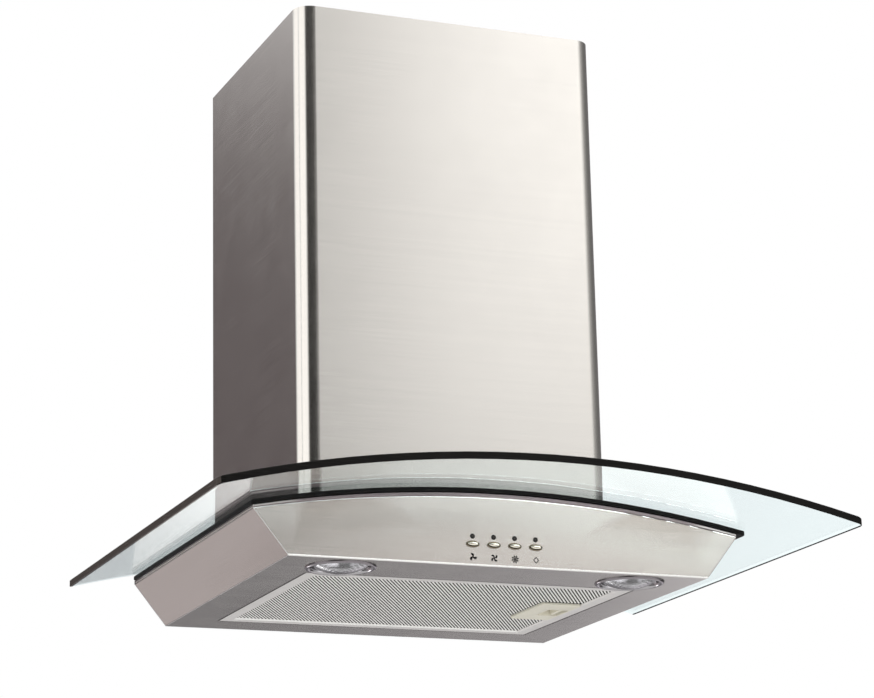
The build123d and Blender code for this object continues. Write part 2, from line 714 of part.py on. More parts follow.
# ---------------------------------------------------------------- controls
FY = BODY_D            # fascia outer face at y = -FY
with BuildPart() as switch_bank:
    with BuildSketch(Plane.XZ.offset(FY - SHEET - 15)):
        with Locations((0.35, 19)):
            RectangleRounded(84, 25, 2)
    extrude(amount=15)
    with BuildSketch(Plane.XZ.offset(FY - SHEET - 12.5)):
        with Locations(*[(x, BTN_Z) for x in BTN_X]):
            Ellipse(5.95, 2.55)
    extrude(amount=14, mode=Mode.SUBTRACT)
    with BuildSketch(Plane.XZ.offset(FY - SHEET - 5)):
        with Locations(*[(x, LED_Z) for x in BTN_X]):
            Circle(2.0)
    extrude(amount=8, mode=Mode.SUBTRACT)
save(switch_bank.part, "switch_bank")
with BuildPart() as switch_board:
    with BuildSketch(Plane.XZ.offset(FY - SHEET - 15 - 1.6)):
        with Locations((0.35, 19)):
            Rectangle(84, 25)
    extrude(amount=1.6)
    with BuildSketch(Plane.XZ.offset(FY - SHEET - 15 - 1.6 - 8)):
        with Locations((-26, 19), (22, 19)):
            Rectangle(22, 12)
    extrude(amount=8)
save(switch_board.part, "switch_board")

with BuildPart() as button_bezels:
    with BuildSketch(Plane.XZ.offset(FY)):
        with Locations(*[(x, BTN_Z) for x in BTN_X]):
            Ellipse(6.6, 3.15)
            Ellipse(5.3, 1.95, mode=Mode.SUBTRACT)
    extrude(amount=0.9)
    chamfer(button_bezels.faces().filter_by(Axis.Y).sort_by(Axis.Y)[:4].edges(), 0.35)
    with BuildSketch(Plane.XZ.offset(FY - 4)):
        with Locations(*[(x, BTN_Z) for x in BTN_X]):
            Ellipse(5.9, 2.5)
            Ellipse(5.3, 1.95, mode=Mode.SUBTRACT)
    extrude(amount=4)
save(button_bezels.part, "button_bezels")

with BuildPart() as indicator_lenses:
    with BuildSketch(Plane.XZ.offset(FY)):
        with Locations(*[(x, LED_Z) for x in BTN_X]):
            Circle(2.3)
    extrude(amount=0.7)
    chamfer(indicator_lenses.faces().filter_by(Axis.Y).sort_by(Axis.Y)[:4].edges(), 0.45)
    with BuildSketch(Plane.XZ.offset(FY - 4)):
        with Locations(*[(x, LED_Z) for x in BTN_X]):
            Circle(1.8)
    extrude(amount=4)
save(indicator_lenses.part, "indicator_lenses")

for i, x in enumerate(BTN_X):
    with BuildPart() as button:
        with BuildSketch(Plane.XZ.offset(FY - 10.5)):
            with Locations((x, BTN_Z)):
                Ellipse(4.95, 1.6)
        extrude(amount=13.0)
        chamfer(button.faces().sort_by(Axis.Y)[0].edges(), 0.5)
    save(button.part, f"button_{i + 1}")

# ---------------------------------------------------------------- lamps
def dome(r, z, r0, z0):
    """Height at radius r0 of the spherical cap from its pole (0, z0) to the rim (r, z)."""
    h = z - z0
    big = (r * r + h * h) / (2 * h)
    return z0 + big - math.sqrt(big * big - r0 * r0)


for s, tag in ((-1, "left"), (1, "right")):
    axis_plane = Plane(origin=(s * LAMP_X, LAMP_Y, 0), x_dir=(1, 0, 0), z_dir=(0, -1, 0))
    spin = Axis((s * LAMP_X, LAMP_Y, 0), (0, 0, 1))
    with BuildPart() as lamp_ring:
        with BuildSketch(axis_plane):
            with BuildLine():
                Polyline((26.4, 1.2), (27.0, -0.9), (28.2, -1.9), (29.6, -2.1), (31.2, -1.6), (LAMP_R, -0.6),
                         (LAMP_R, 0), (29.2, 0), (29.2, 14), (27.9, 14), (27.9, 3.2), (26.4, 3.2), (26.4, 1.2))
            make_face()
        revolve(axis=spin)
    save(lamp_ring.part, f"lamp_ring_{tag}")
    with BuildPart() as lamp_lens:
        with BuildSketch(axis_plane):
            with BuildLine():
                ThreePointArc((0, -6.0), (14.0, dome(26.0, 1.6, 14.0, -6.0)), (26.0, 1.6))
                Polyline((26.0, 1.6), (26.0, 3.2), (27.7, 3.2), (27.7, 5.0), (25.0, 5.0))
                ThreePointArc((25.0, 5.0), (14.0, dome(25.0, 5.0, 14.0, -3.2)), (0, -3.2))
                Line((0, -3.2), (0, -6.0))
            make_face()
        revolve(axis=spin)
    save(lamp_lens.part, f"lamp_lens_{tag}")
    with BuildPart() as lamp_reflector:
        with BuildSketch(axis_plane):
            with BuildLine():
                Line((27.4, 5.0), (27.4, 6.2))
                ThreePointArc((27.4, 6.2), (21.4, 18.7), (7.5, 26))
                Line((7.5, 26), (7.5, 30))
                Line((7.5, 30), (6.2, 30))
                Line((6.2, 30), (6.2, 25))
                ThreePointArc((6.2, 25), (20.3, 17.6), (26.2, 5.0))
                Line((26.2, 5.0), (27.4, 5.0))
            make_face()
        revolve(axis=spin)
    save(lamp_reflector.part, f"lamp_reflector_{tag}")

with BuildPart() as lamp_bulbs:
    for s in (-1, 1):
        with BuildSketch(Plane(origin=(s * LAMP_X, LAMP_Y, 0), x_dir=(1, 0, 0), z_dir=(0, -1, 0))):
            with BuildLine():
                ThreePointArc((0, 8), (3.0, dome(4.6, 12.0, 3.0, 8.0)), (4.6, 12.0))
                Line((4.6, 12.0), (4.6, 22))
                Line((4.6, 22), (6.1, 24))
                Line((6.1, 24), (6.1, 33))
                Line((6.1, 33), (0, 33))
                Line((0, 33), (0, 8))
            make_face()
        revolve(axis=Axis((s * LAMP_X, LAMP_Y, 0), (0, 0, 1)))
save(lamp_bulbs.part, "lamp_bulbs")

with BuildPart() as lamp_clips:
    for s in (-1, 1):
        for d in (-1, 1):
            cx = s * LAMP_X
            with BuildSketch(Plane.XZ.offset(-LAMP_Y - 4)):
                with BuildLine():
                    Polyline((cx + d * 29.4, 3.0), (cx + d * 33.1, SHEET), (cx + d * 33.9, 1.6), (cx + d * 30.4, 4.0),
                             (cx + d * 30.4, 12), (cx + d * 29.4, 12), (cx + d * 29.4, 3.0))
                make_face()
            extrude(amount=8)
save(lamp_clips.part, "lamp_clips")

# ---------------------------------------------------------------- grease filter
HX0, HX1 = 107.0, 147.4         # handle plate
HY0, HY1 = -209.0, -131.0
CX0, CX1 = 122.8, 146.2         # finger cup (outer)
CY0, CY1 = -186.0, -154.0
LY = -170.0                     # latch centre line
with BuildPart() as filter_frame:
    with BuildSketch():
        with Locations((0, F_Y)):
            RectangleRounded(F_W, F_D, 1.2)
    extrude(amount=F_H)
    with BuildSketch(Plane.XY.offset(1.6)):
        with Locations((0, F_Y)):
            Rectangle(F_W - 1.6, F_D - 1.6)
    extrude(amount=F_H - 1.6 - 0.8, mode=Mode.SUBTRACT)
    with BuildSketch(Plane.XY.offset(-1)):
        with Locations((0, F_Y)):
            Rectangle(F_W - 2 * F_BORDER, F_D - 2 * F_BORDER)
    extrude(amount=F_H + 2, mode=Mode.SUBTRACT)
    bottom = filter_frame.faces().filter_by(Axis.Z).sort_by(Axis.Z)[0]
    rim = bottom.inner_wires()[0].edges()
    chamfer(rim, 1.2)
    # way out for the latch nose
    with BuildSketch(Plane.YZ.offset(150)):
        with Locations((LY, 4.2)):
            Rectangle(10.0, 4.2)
    extrude(amount=20, mode=Mode.SUBTRACT)
save(filter_frame.part, "filter_frame")

FM_W, FM_D = F_W - 2.0, F_D - 2.0
for name, z0, z1 in (("filter_mesh_lower", 1.65, 2.45), ("filter_mesh_upper", 7.3, 8.15)):
    with BuildPart() as mesh:
        with BuildSketch(Plane.XY.offset(z0)):
            with Locations((0, F_Y)):
                Rectangle(FM_W, FM_D)
            if z0 < 5:
                with Locations(((CX0 + F_W / 2) / 2 - 0.5, (CY0 + CY1) / 2)):
                    Rectangle(F_W / 2 - CX0 + 2.4, CY1 - CY0 + 1.0, mode=Mode.SUBTRACT)
        extrude(amount=z1 - z0)
    save(mesh.part, name)
with BuildPart() as filter_core:
    with BuildSketch(Plane.XY.offset(2.5)):
        with Locations((0, F_Y)):
            Rectangle(FM_W, FM_D)
        with Locations(((CX0 + F_W / 2) / 2 - 0.5, (CY0 + CY1) / 2)):
            Rectangle(F_W / 2 - CX0 + 2.4, CY1 - CY0 + 1.0, mode=Mode.SUBTRACT)
    extrude(amount=4.7)
save(filter_core.part, "filter_core")

with BuildPart() as filter_handle:
    with BuildSketch(Plane.XY.offset(-0.9)):
        with Locations(((HX0 + HX1) / 2, (HY0 + HY1) / 2)):
            RectangleRounded(HX1 - HX0, HY1 - HY0, 2.5)
    extrude(amount=2.4)
    chamfer(filter_handle.faces().sort_by(Axis.Z)[0].edges(), 0.6)
    with BuildSketch(Plane.XY.offset(1.5)):
        with Locations(((CX0 + CX1) / 2, (CY0 + CY1) / 2)):
            RectangleRounded(CX1 - CX0, CY1 - CY0, 2.0)
    extrude(amount=5.7)
    with BuildSketch(Plane.XY.offset(-2)):
        with Locations(((CX0 + CX1) / 2, (CY0 + CY1) / 2)):
            RectangleRounded(CX1 - CX0 - 2.2, CY1 - CY0 - 2.2, 1.5)
    extrude(amount=8.3, mode=Mode.SUBTRACT)
    with BuildSketch(Plane.YZ.offset(140)):
        with Locations((LY, 4.2)):
            Rectangle(9.0, 3.7)
    extrude(amount=10, mode=Mode.SUBTRACT)
save(filter_handle.part, "filter_handle")

with BuildPart() as filter_latch:
    with BuildSketch(Plane.YZ.offset(139)):
        with Locations((LY, 4.2)):
            Rectangle(8.2, 2.9)
    extrude(amount=161.3 - 139)
    with BuildSketch(Plane.YZ.offset(138.5)):
        with Locations((LY, 2.9)):
            Rectangle(26, 6.0)
    extrude(amount=3.0)
    chamfer(filter_latch.edges().filter_by(Axis.Y).group_by(Axis.Z)[0], 0.6)
save(filter_latch.part, "filter_latch")

with BuildPart() as filter_hooks:
    for y0 in (-236, -120):
        with BuildSketch(Plane.XZ.offset(-y0)):
            with BuildLine():
                Polyline((-160.6, 1.5), (-167.0, 1.5), (-167.0, 2.3), (-161.4, 2.3), (-161.4, 8.0), (-160.6, 8.0),
                         (-160.6, 1.5))
            make_face()
        extrude(amount=-20)
save(filter_hooks.part, "filter_hooks")
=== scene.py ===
import math

import bmesh
import bpy
from mathutils import Matrix, Vector


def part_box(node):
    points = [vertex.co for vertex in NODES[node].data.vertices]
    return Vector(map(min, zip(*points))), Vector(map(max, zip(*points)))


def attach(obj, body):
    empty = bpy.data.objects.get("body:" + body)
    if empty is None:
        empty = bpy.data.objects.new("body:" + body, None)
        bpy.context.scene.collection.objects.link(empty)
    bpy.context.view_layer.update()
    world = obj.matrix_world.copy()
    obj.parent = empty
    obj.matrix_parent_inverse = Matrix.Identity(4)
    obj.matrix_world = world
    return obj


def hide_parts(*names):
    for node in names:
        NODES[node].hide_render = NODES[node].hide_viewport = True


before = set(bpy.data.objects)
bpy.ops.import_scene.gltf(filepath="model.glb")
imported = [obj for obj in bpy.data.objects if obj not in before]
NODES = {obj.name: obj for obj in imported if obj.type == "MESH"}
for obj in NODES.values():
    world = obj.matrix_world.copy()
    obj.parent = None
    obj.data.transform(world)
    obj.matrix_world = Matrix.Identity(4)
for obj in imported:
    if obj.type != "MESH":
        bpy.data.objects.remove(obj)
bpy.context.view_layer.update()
scene = bpy.context.scene

# ------------------------------------------------------------------ camera
# Solved from the photograph: below, left and in front of the hood, looking up.
CAM = Vector((-0.974438, -2.603212, -0.468352))
YAW, PITCH, ROLL = 0.388339, 0.267799, -0.022703
FOCAL = 2808.895 * 36.0 / 874.0
f = Vector((math.sin(YAW) * math.cos(PITCH), math.cos(YAW) * math.cos(PITCH), math.sin(PITCH)))
r0 = Vector((math.cos(YAW), -math.sin(YAW), 0.0))
u0 = r0.cross(f)
r = r0 * math.cos(ROLL) + u0 * math.sin(ROLL)
u = u0 * math.cos(ROLL) - r0 * math.sin(ROLL)
cam_data = bpy.data.cameras.new("photo_camera")
cam = bpy.data.objects.new("photo_camera", cam_data)
scene.collection.objects.link(cam)
cam.matrix_world = Matrix((
    (r.x, u.x, -f.x, CAM.x), (r.y, u.y, -f.y, CAM.y), (r.z, u.z, -f.z, CAM.z), (0, 0, 0, 1)))
cam_data.sensor_fit = "HORIZONTAL"
cam_data.sensor_width = 36.0
cam_data.lens = FOCAL
cam_data.clip_start = 0.01
cam_data.clip_end = 100.0
scene.camera = cam
scene.view_settings.view_transform = "Standard"
scene.view_settings.look = "None"


# ------------------------------------------------------------------ node helpers
class Mat:
    """A material under construction: short calls that add and join shader nodes."""

    def __init__(self, name):
        self.m = bpy.data.materials.new(name)
        self.m.use_nodes = True
        self.t = self.m.node_tree
        self.t.nodes.clear()
        self.out = self.t.nodes.new("ShaderNodeOutputMaterial")
        self.x = 0

    def n(self, kind, **props):
        node = self.t.nodes.new(kind)
        self.x += 40
        node.location = (self.x, 0)
        for k, v in props.items():
            setattr(node, k, v)
        return node

    def put(self, sock, value):
        if isinstance(value, bpy.types.NodeSocket):
            self.t.links.new(value, sock)
        else:
            if hasattr(sock, "default_value"):
                if sock.type == "RGBA" and len(value) == 3:
                    value = (*value, 1.0)
                sock.default_value = value

    def math(self, op, a, b=0.0, c=0.0, clamp=False):
        nd = self.n("ShaderNodeMath", operation=op, use_clamp=clamp)
        self.put(nd.inputs[0], a)
        self.put(nd.inputs[1], b)
        if len(nd.inputs) > 2:
            self.put(nd.inputs[2], c)
        return nd.outputs[0]

    def vmath(self, op, a, b=(0, 0, 0)):
        nd = self.n("ShaderNodeVectorMath", operation=op)
        self.put(nd.inputs[0], a)
        self.put(nd.inputs[1], b)
        return nd.outputs["Value"] if op in ("LENGTH", "DOT_PRODUCT", "DISTANCE") else nd.outputs[0]

    def xyz(self, v):
        nd = self.n("ShaderNodeSeparateXYZ")
        self.put(nd.inputs[0], v)
        return nd.outputs

    def comb(self, x, y, z):
        nd = self.n("ShaderNodeCombineXYZ")
        for i, v in enumerate((x, y, z)):
            self.put(nd.inputs[i], v)
        return nd.outputs[0]

    def mixf(self, fac, a, b):
        nd = self.n("ShaderNodeMix", data_type="FLOAT")
        self.put(nd.inputs[0], fac)
        self.put(nd.inputs[2], a)
        self.put(nd.inputs[3], b)
        return nd.outputs[0]

    def mixv(self, fac, a, b):
        nd = self.n("ShaderNodeMix", data_type="VECTOR")
        self.put(nd.inputs[0], fac)
        self.put(nd.inputs[4], a)
        self.put(nd.inputs[5], b)
        return nd.outputs[1]

    def mixc(self, fac, a, b, blend="MIX"):
        nd = self.n("ShaderNodeMix", data_type="RGBA", blend_type=blend)
        self.put(nd.inputs[0], fac)
        self.put(nd.inputs[6], a)
        self.put(nd.inputs[7], b)
        return nd.outputs[2]

    def noise(self, vec, scale=5.0, detail=2.0, rough=0.5, dist=0.0):
        nd = self.n("ShaderNodeTexNoise")
        self.put(nd.inputs["Vector"], vec)
        nd.inputs["Scale"].default_value = scale
        nd.inputs["Detail"].default_value = detail
        nd.inputs["Roughness"].default_value = rough
        nd.inputs["Distortion"].default_value = dist
        return nd.outputs["Fac"]

    def ramp(self, fac, stops, interp="LINEAR"):
        nd = self.n("ShaderNodeValToRGB")
        nd.color_ramp.interpolation = interp
        el = nd.color_ramp.elements
        while len(el) > 1:
            el.remove(el[-1])
        for i, (p, c) in enumerate(stops):
            e = el[0] if i == 0 else el.new(p)
            e.position = p
            c = c if hasattr(c, "__len__") else (c, c, c)
            e.color = (*c[:3], 1.0)
        self.put(nd.inputs[0], fac)
        return nd.outputs[0]

    def maprange(self, v, a, b, c, d):
        nd = self.n("ShaderNodeMapRange")
        self.put(nd.inputs[0], v)
        for i, x in enumerate((a, b, c, d)):
            nd.inputs[i + 1].default_value = x
        return nd.outputs[0]

    def bump(self, height, strength, dist, normal=None):
        nd = self.n("ShaderNodeBump")
        nd.inputs["Strength"].default_value = strength
        nd.inputs["Distance"].default_value = dist
        self.put(nd.inputs["Height"], height)
        if normal is not None:
            self.put(nd.inputs["Normal"], normal)
        return nd.outputs[0]

    def principled(self, **kw):
        nd = self.n("ShaderNodeBsdfPrincipled")
        for k, v in kw.items():
            self.put(nd.inputs[k.replace("_", " ")], v)
        self.t.links.new(nd.outputs[0], self.out.inputs[0])
        return nd

    def obj(self):
        return self.n("ShaderNodeTexCoord").outputs["Object"]

    def geo(self, name):
        return self.n("ShaderNodeNewGeometry").outputs[name]

    def edge_wear(self):
        """1 on worn convex edges, 0 elsewhere."""
        p = self.geo("Pointiness")
        return self.maprange(p, 0.51, 0.56, 0.0, 1.0)


def assign(mat, *names):
    for n in names:
        ob = NODES[n]
        ob.data.materials.clear()
        ob.data.materials.append(mat.m)


# ------------------------------------------------------------------ materials
def brushed(name, tint=(0.66, 0.635, 0.60), rough=0.23, aniso=0.75, scale=1.0, force=None, fascia=None):
    """Brushed stainless steel. The grain runs along X, and along Y on faces that look sideways.
    fascia: tint of the part's front face, a darker copy of the steel as painted shade; with it come painted highlights
    on the front's folds and left upright, and painted shade in the folds to the flared sides."""
    m = Mat(name)
    co = m.obj()
    x, y, z = m.xyz(co)
    nor = m.geo("Normal")
    nx = m.math("ABSOLUTE", m.xyz(nor)[0])
    side = m.math("GREATER_THAN", nx, 0.6)
    along_x = m.comb(m.math("MULTIPLY", x, 9.0 * scale), m.math("MULTIPLY", y, 900.0 * scale), m.math("MULTIPLY", z, 900.0 * scale))
    along_y = m.comb(m.math("MULTIPLY", x, 900.0 * scale), m.math("MULTIPLY", y, 9.0 * scale), m.math("MULTIPLY", z, 900.0 * scale))
    if force == "x":
        gv, g = along_x, (1.0, 0.0, 0.0)
    elif force == "y":
        gv, g = along_y, (0.0, 1.0, 0.0)
    else:
        gv = m.mixv(side, along_x, along_y)
        g = m.mixv(side, (1.0, 0.0, 0.0), (0.0, 1.0, 0.0))
    grain = m.noise(gv, 1.0, 3.0, 0.65)
    coarse = m.noise(m.vmath("MULTIPLY", gv, (0.35, 0.35, 0.35)), 1.0, 2.0, 0.5)
    blotch = m.noise(co, 7.0, 2.0, 0.5)
    smear = m.noise(co, 28.0, 4.0, 0.6, 0.4)
    tone = m.math("ADD", m.math("MULTIPLY", m.math("SUBTRACT", grain, 0.5), 0.20),
                  m.math("ADD", m.math("MULTIPLY", m.math("SUBTRACT", coarse, 0.5), 0.10),
                         m.math("ADD", m.math("MULTIPLY", m.math("SUBTRACT", blotch, 0.5), 0.06), 1.0)))
    if fascia:
        # painted shade: the front face takes the darker fascia tint, a shaded copy of the same steel
        front = m.math("LESS_THAN", m.xyz(nor)[1], -0.6)
        tint = m.mixc(front, tint, fascia)
    base = m.mixc(1.0, tint, m.comb(tone, tone, tone), "MULTIPLY")
    base = m.mixc(m.math("MULTIPLY", m.edge_wear(), 0.5), base, (0.84, 0.82, 0.79))
    if fascia:
        ny = m.xyz(nor)[1]
        # painted highlights, near-white: the front's lower fold (fold), its top fold (brow) and its left upright
        # (post)
        fold = m.math("MULTIPLY", m.math("MULTIPLY", m.math("LESS_THAN", ny, -0.25), m.math("LESS_THAN", y, -0.3645)), m.math("LESS_THAN", z, 0.0016))
        nz = m.xyz(nor)[2]
        brow = m.math("MULTIPLY", m.math("MULTIPLY", m.math("LESS_THAN", ny, -0.15), m.math("GREATER_THAN", nz, 0.10)), m.math("LESS_THAN", y, -0.3645))
        nx_ = m.xyz(nor)[0]
        post = m.math("MULTIPLY", m.math("MULTIPLY", m.math("LESS_THAN", ny, -0.35), m.math("LESS_THAN", nx_, -0.12)), m.math("LESS_THAN", y, -0.355))
        base = m.mixc(m.math("MAXIMUM", m.math("MAXIMUM", fold, brow), post), base, (1.0, 0.99, 0.97))
        # the folds between the underside and the flared sides are coloured dark: painted shade in the folds
        hem = m.math("MULTIPLY", m.math("MULTIPLY", m.math("GREATER_THAN", nx, 0.22), m.math("LESS_THAN", nx, 0.75)),
                     m.math("MULTIPLY", m.math("LESS_THAN", nz, -0.65), m.math("GREATER_THAN", ny, -0.25)))
        base = m.mixc(hem, base, (0.26, 0.245, 0.24))
    ro = m.math("ADD", m.math("MULTIPLY", m.math("SUBTRACT", grain, 0.5), 0.10),
                m.math("ADD", m.math("MULTIPLY", m.math("SUBTRACT", smear, 0.5), 0.07), rough), clamp=True)
    nrm = m.bump(grain, 0.05, 0.00006)
    tangent = m.vmath("NORMALIZE", m.vmath("CROSS_PRODUCT", nor, g))
    m.principled(Base_Color=base, Metallic=1.0, Roughness=ro, Anisotropic=aniso, Tangent=tangent, Normal=nrm)
    return m


def zinc(name="zinc_sheet"):
    """Hot-dip zinc-coated sheet with its spangle."""
    m = Mat(name)
    co = m.obj()
    v = m.n("ShaderNodeTexVoronoi", feature="F1")
    m.put(v.inputs["Vector"], m.vmath("ADD", co, m.comb(m.math("MULTIPLY", m.noise(co, 60.0, 2.0), 0.01), 0.0, 0.0)))
    v.inputs["Scale"].default_value = 90.0
    cell = m.xyz(v.outputs["Color"])[0]
    fine = m.noise(co, 900.0, 2.0)
    base = m.ramp(cell, [(0.0, (0.40, 0.42, 0.44)), (0.5, (0.52, 0.54, 0.56)), (1.0, (0.66, 0.67, 0.68))])
    base = m.mixc(m.math("MULTIPLY", fine, 0.12), base, (0.30, 0.31, 0.32))
    ro = m.maprange(cell, 0.0, 1.0, 0.34, 0.56)
    m.principled(Base_Color=base, Metallic=0.9, Roughness=ro, Normal=m.bump(fine, 0.12, 0.0001))
    return m


def metal(name, color, rough, grain=0.0, spec=1.0, scale=220.0):
    m = Mat(name)
    co = m.obj()
    a = m.noise(co, scale, 3.0, 0.6)
    b = m.noise(co, scale * 0.13, 2.0, 0.5)
    base = m.mixc(m.math("MULTIPLY", a, 0.22), color, tuple(c * 0.72 for c in color))
    base = m.mixc(m.math("MULTIPLY", m.edge_wear(), 0.4), base, tuple(min(1.0, c * 1.25) for c in color))
    ro = m.math("ADD", m.math("MULTIPLY", m.math("SUBTRACT", b, 0.5), 0.12), rough, clamp=True)
    m.principled(Base_Color=base, Metallic=spec, Roughness=ro, Normal=m.bump(a, 0.08 + grain, 0.00008))
    return m


def plastic(name, color, rough=0.45, grain=0.25, scale=1400.0, var=0.06, sss=0.0, coat=0.0):
    """Moulded plastic: fine spark-eroded texture, slight colour drift, lighter rubbed edges."""
    m = Mat(name)
    co = m.obj()
    tex = m.noise(co, scale, 2.0, 0.6)
    drift = m.noise(co, 16.0, 2.0, 0.5)
    dirt = m.noise(co, 70.0, 4.0, 0.65)
    base = m.mixc(m.maprange(drift, 0.3, 0.7, 0.0, 1.0), tuple(c * (1 - var) for c in color), tuple(min(1, c * (1 + var)) for c in color))
    base = m.mixc(m.math("MULTIPLY", m.edge_wear(), 0.35), base, tuple(min(1.0, c * 1.35 + 0.03) for c in color))
    ro = m.math("ADD", m.math("MULTIPLY", m.math("SUBTRACT", dirt, 0.5), 0.22), rough, clamp=True)
    m.principled(Base_Color=base, Roughness=ro, Normal=m.bump(tex, grain, 0.00012), Subsurface_Weight=sss,
                 Coat_Weight=coat, Coat_Roughness=0.12)
    return m


def frame_metal(name="filter_aluminium"):
    """Pressed aluminium frame: a painted highlight on the faces that look forward, and painted shade in a band about 1
    mm wide around its outside.
    """
    m = Mat(name)
    co = m.obj()
    x, y, z = m.xyz(co)
    lo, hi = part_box("filter_frame")
    cx, cy = (lo.x + hi.x) / 2, (lo.y + hi.y) / 2
    inset = m.math("MINIMUM", m.math("SUBTRACT", (hi.x - lo.x) / 2, m.math("ABSOLUTE", m.math("SUBTRACT", x, cx))),
                   m.math("SUBTRACT", (hi.y - lo.y) / 2, m.math("ABSOLUTE", m.math("SUBTRACT", y, cy))))
    gap_shade = m.maprange(inset, 0.0005, 0.0010, 1.0, 0.0)
    forward_highlight = m.math("LESS_THAN", m.xyz(m.geo("Normal"))[1], -0.35)
    a = m.noise(co, 500.0, 3.0, 0.6)
    b = m.noise(co, 65.0, 2.0, 0.5)
    base = m.mixc(m.math("MULTIPLY", a, 0.22), (0.82, 0.795, 0.78), (0.60, 0.58, 0.57))
    # painted highlight: faces that look forward are coloured near-white
    base = m.mixc(forward_highlight, base, (0.99, 0.98, 0.96))
    # painted shade: the band around the frame's outside is coloured near-black
    base = m.mixc(gap_shade, base, (0.10, 0.095, 0.09))
    m.principled(Base_Color=base, Metallic=0.55, Roughness=m.maprange(b, 0.3, 0.7, 0.45, 0.55), Normal=m.bump(a, 0.16, 0.00008))
    return m


FACE_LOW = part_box("filter_mesh_lower")[0].z


FACE_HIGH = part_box("filter_mesh_upper")[1].z


def strands(name="mesh_aluminium", up=False):
    """Expanded aluminium: clean on the broad front strands, with painted shade on the narrow ones behind them.
    up: the filter's upper face, whose front side looks up."""
    m = Mat(name)
    co = m.obj()
    a = m.noise(co, 900.0, 3.0, 0.6)
    b = m.noise(co, 117.0, 2.0, 0.5)
    if up:
        behind = m.math("LESS_THAN", m.xyz(co)[2], FACE_HIGH - 0.000165)
    else:
        behind = m.math("GREATER_THAN", m.xyz(co)[2], FACE_LOW + 0.000165)
    base = m.mixc(m.math("MULTIPLY", a, 0.10), (1.0, 0.985, 0.96), (0.80, 0.78, 0.75))
    # painted shade: the narrow strands behind the front are coloured near-black
    base = m.mixc(behind, base, (0.055, 0.05, 0.045))
    nd = m.principled(Base_Color=base, Metallic=0.10, Roughness=m.maprange(b, 0.3, 0.7, 0.44, 0.56),
                      Normal=m.bump(a, 0.12, 0.00008))
    nd.inputs["Specular IOR Level"].default_value = 0.5
    m.put(nd.inputs["Specular IOR Level"], m.mixf(behind, 0.5, 0.1))
    return m


def wire_core(name="knitted_core"):
    """Knitted wire inside the filter, coloured near-black: painted shade in the depth behind its face."""
    m = Mat(name)
    co = m.obj()
    a = m.noise(co, 1500.0, 3.0, 0.6)
    m.principled(Base_Color=m.mixc(a, (0.030, 0.026, 0.022), (0.010, 0.009, 0.008)), Roughness=m.maprange(a, 0.2, 0.8, 0.7, 0.95),
                 Specular_IOR_Level=0.04, Normal=m.bump(a, 0.4, 0.0002))
    return m


def rubber(name="seal_rubber"):
    m = Mat(name)
    co = m.obj()
    tex = m.noise(co, 900.0, 3.0, 0.6)
    bloom = m.noise(co, 30.0, 3.0, 0.6)
    base = m.mixc(m.maprange(bloom, 0.35, 0.75, 0.0, 1.0), (0.0035, 0.0033, 0.0033), (0.010, 0.0095, 0.0095))
    m.principled(Base_Color=base, Roughness=m.maprange(bloom, 0.2, 0.8, 0.45, 0.6), Specular_IOR_Level=0.12,
                 Normal=m.bump(tex, 0.25, 0.0001))
    return m


GLASS_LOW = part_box("glass_canopy")[0].z


def glass_pane(name="canopy_glass"):
    """Clear toughened float glass. The ground edge is painted nearly black in front and dark brown-grey at the sides:
    a painted dark reflection.
    """
    m = Mat(name)
    co = m.obj()
    nor = m.xyz(m.geo("True Normal"))
    edge = m.math("MULTIPLY", m.math("LESS_THAN", m.math("ABSOLUTE", nor[2]), 0.8), m.math("SUBTRACT", 1.0, m.geo("Backfacing")))
    flank = m.math("GREATER_THAN", m.math("ABSOLUTE", nor[0]), 0.6)
    clear = m.math("SUBTRACT", 1.0, edge)
    wave = m.noise(m.vmath("MULTIPLY", co, (2.0, 6.0, 2.0)), 1.0, 2.0, 0.5)
    film = m.noise(co, 45.0, 5.0, 0.65, 0.5)
    grind = m.noise(m.vmath("MULTIPLY", co, (40.0, 40.0, 700.0)), 1.0, 3.0, 0.6)
    # painted dark reflection: the ground edges, near-black in front and dark brown-grey at the sides
    rim = m.mixc(flank, m.mixc(grind, (0.003, 0.003, 0.003), (0.016, 0.015, 0.014)),
                 m.mixc(grind, (0.040, 0.033, 0.030), (0.075, 0.064, 0.058)))
    smudge = m.maprange(film, 0.35, 0.8, 0.0, 1.0)
    body = m.mixc(smudge, (0.885, 0.972, 0.980), (0.865, 0.957, 0.963))
    ro = m.mixf(edge, m.maprange(film, 0.50, 0.85, 0.0, 0.02), m.maprange(grind, 0.3, 0.7, 0.16, 0.30))
    inside = m.math("MULTIPLY", m.geo("Backfacing"), m.math("LESS_THAN", m.math("ABSOLUTE", nor[2]), 0.8))
    # the ground arris along the two lower side edges, painted as a dark line: a painted dark reflection
    arris = m.math("LESS_THAN", m.xyz(co)[2], GLASS_LOW + 0.0005)
    clear = m.math("MULTIPLY", clear, m.math("SUBTRACT", 1.0, arris))
    nd = m.principled(Base_Color=m.mixc(m.math("MAXIMUM", edge, arris), body, rim), Roughness=ro, Transmission_Weight=clear, Normal=m.bump(wave, 0.02, 0.0004))
    # the plain value of each socket is that of the clear sheet, should its link be left out
    nd.inputs["IOR"].default_value = 1.22
    nd.inputs["Specular IOR Level"].default_value = 0.5
    m.put(nd.inputs["IOR"], m.mixf(m.math("MULTIPLY", inside, m.math("SUBTRACT", 1.0, arris)), 1.22, 1.0))
    m.put(nd.inputs["Specular IOR Level"], m.mixf(edge, 0.5, 0.25))
    return m


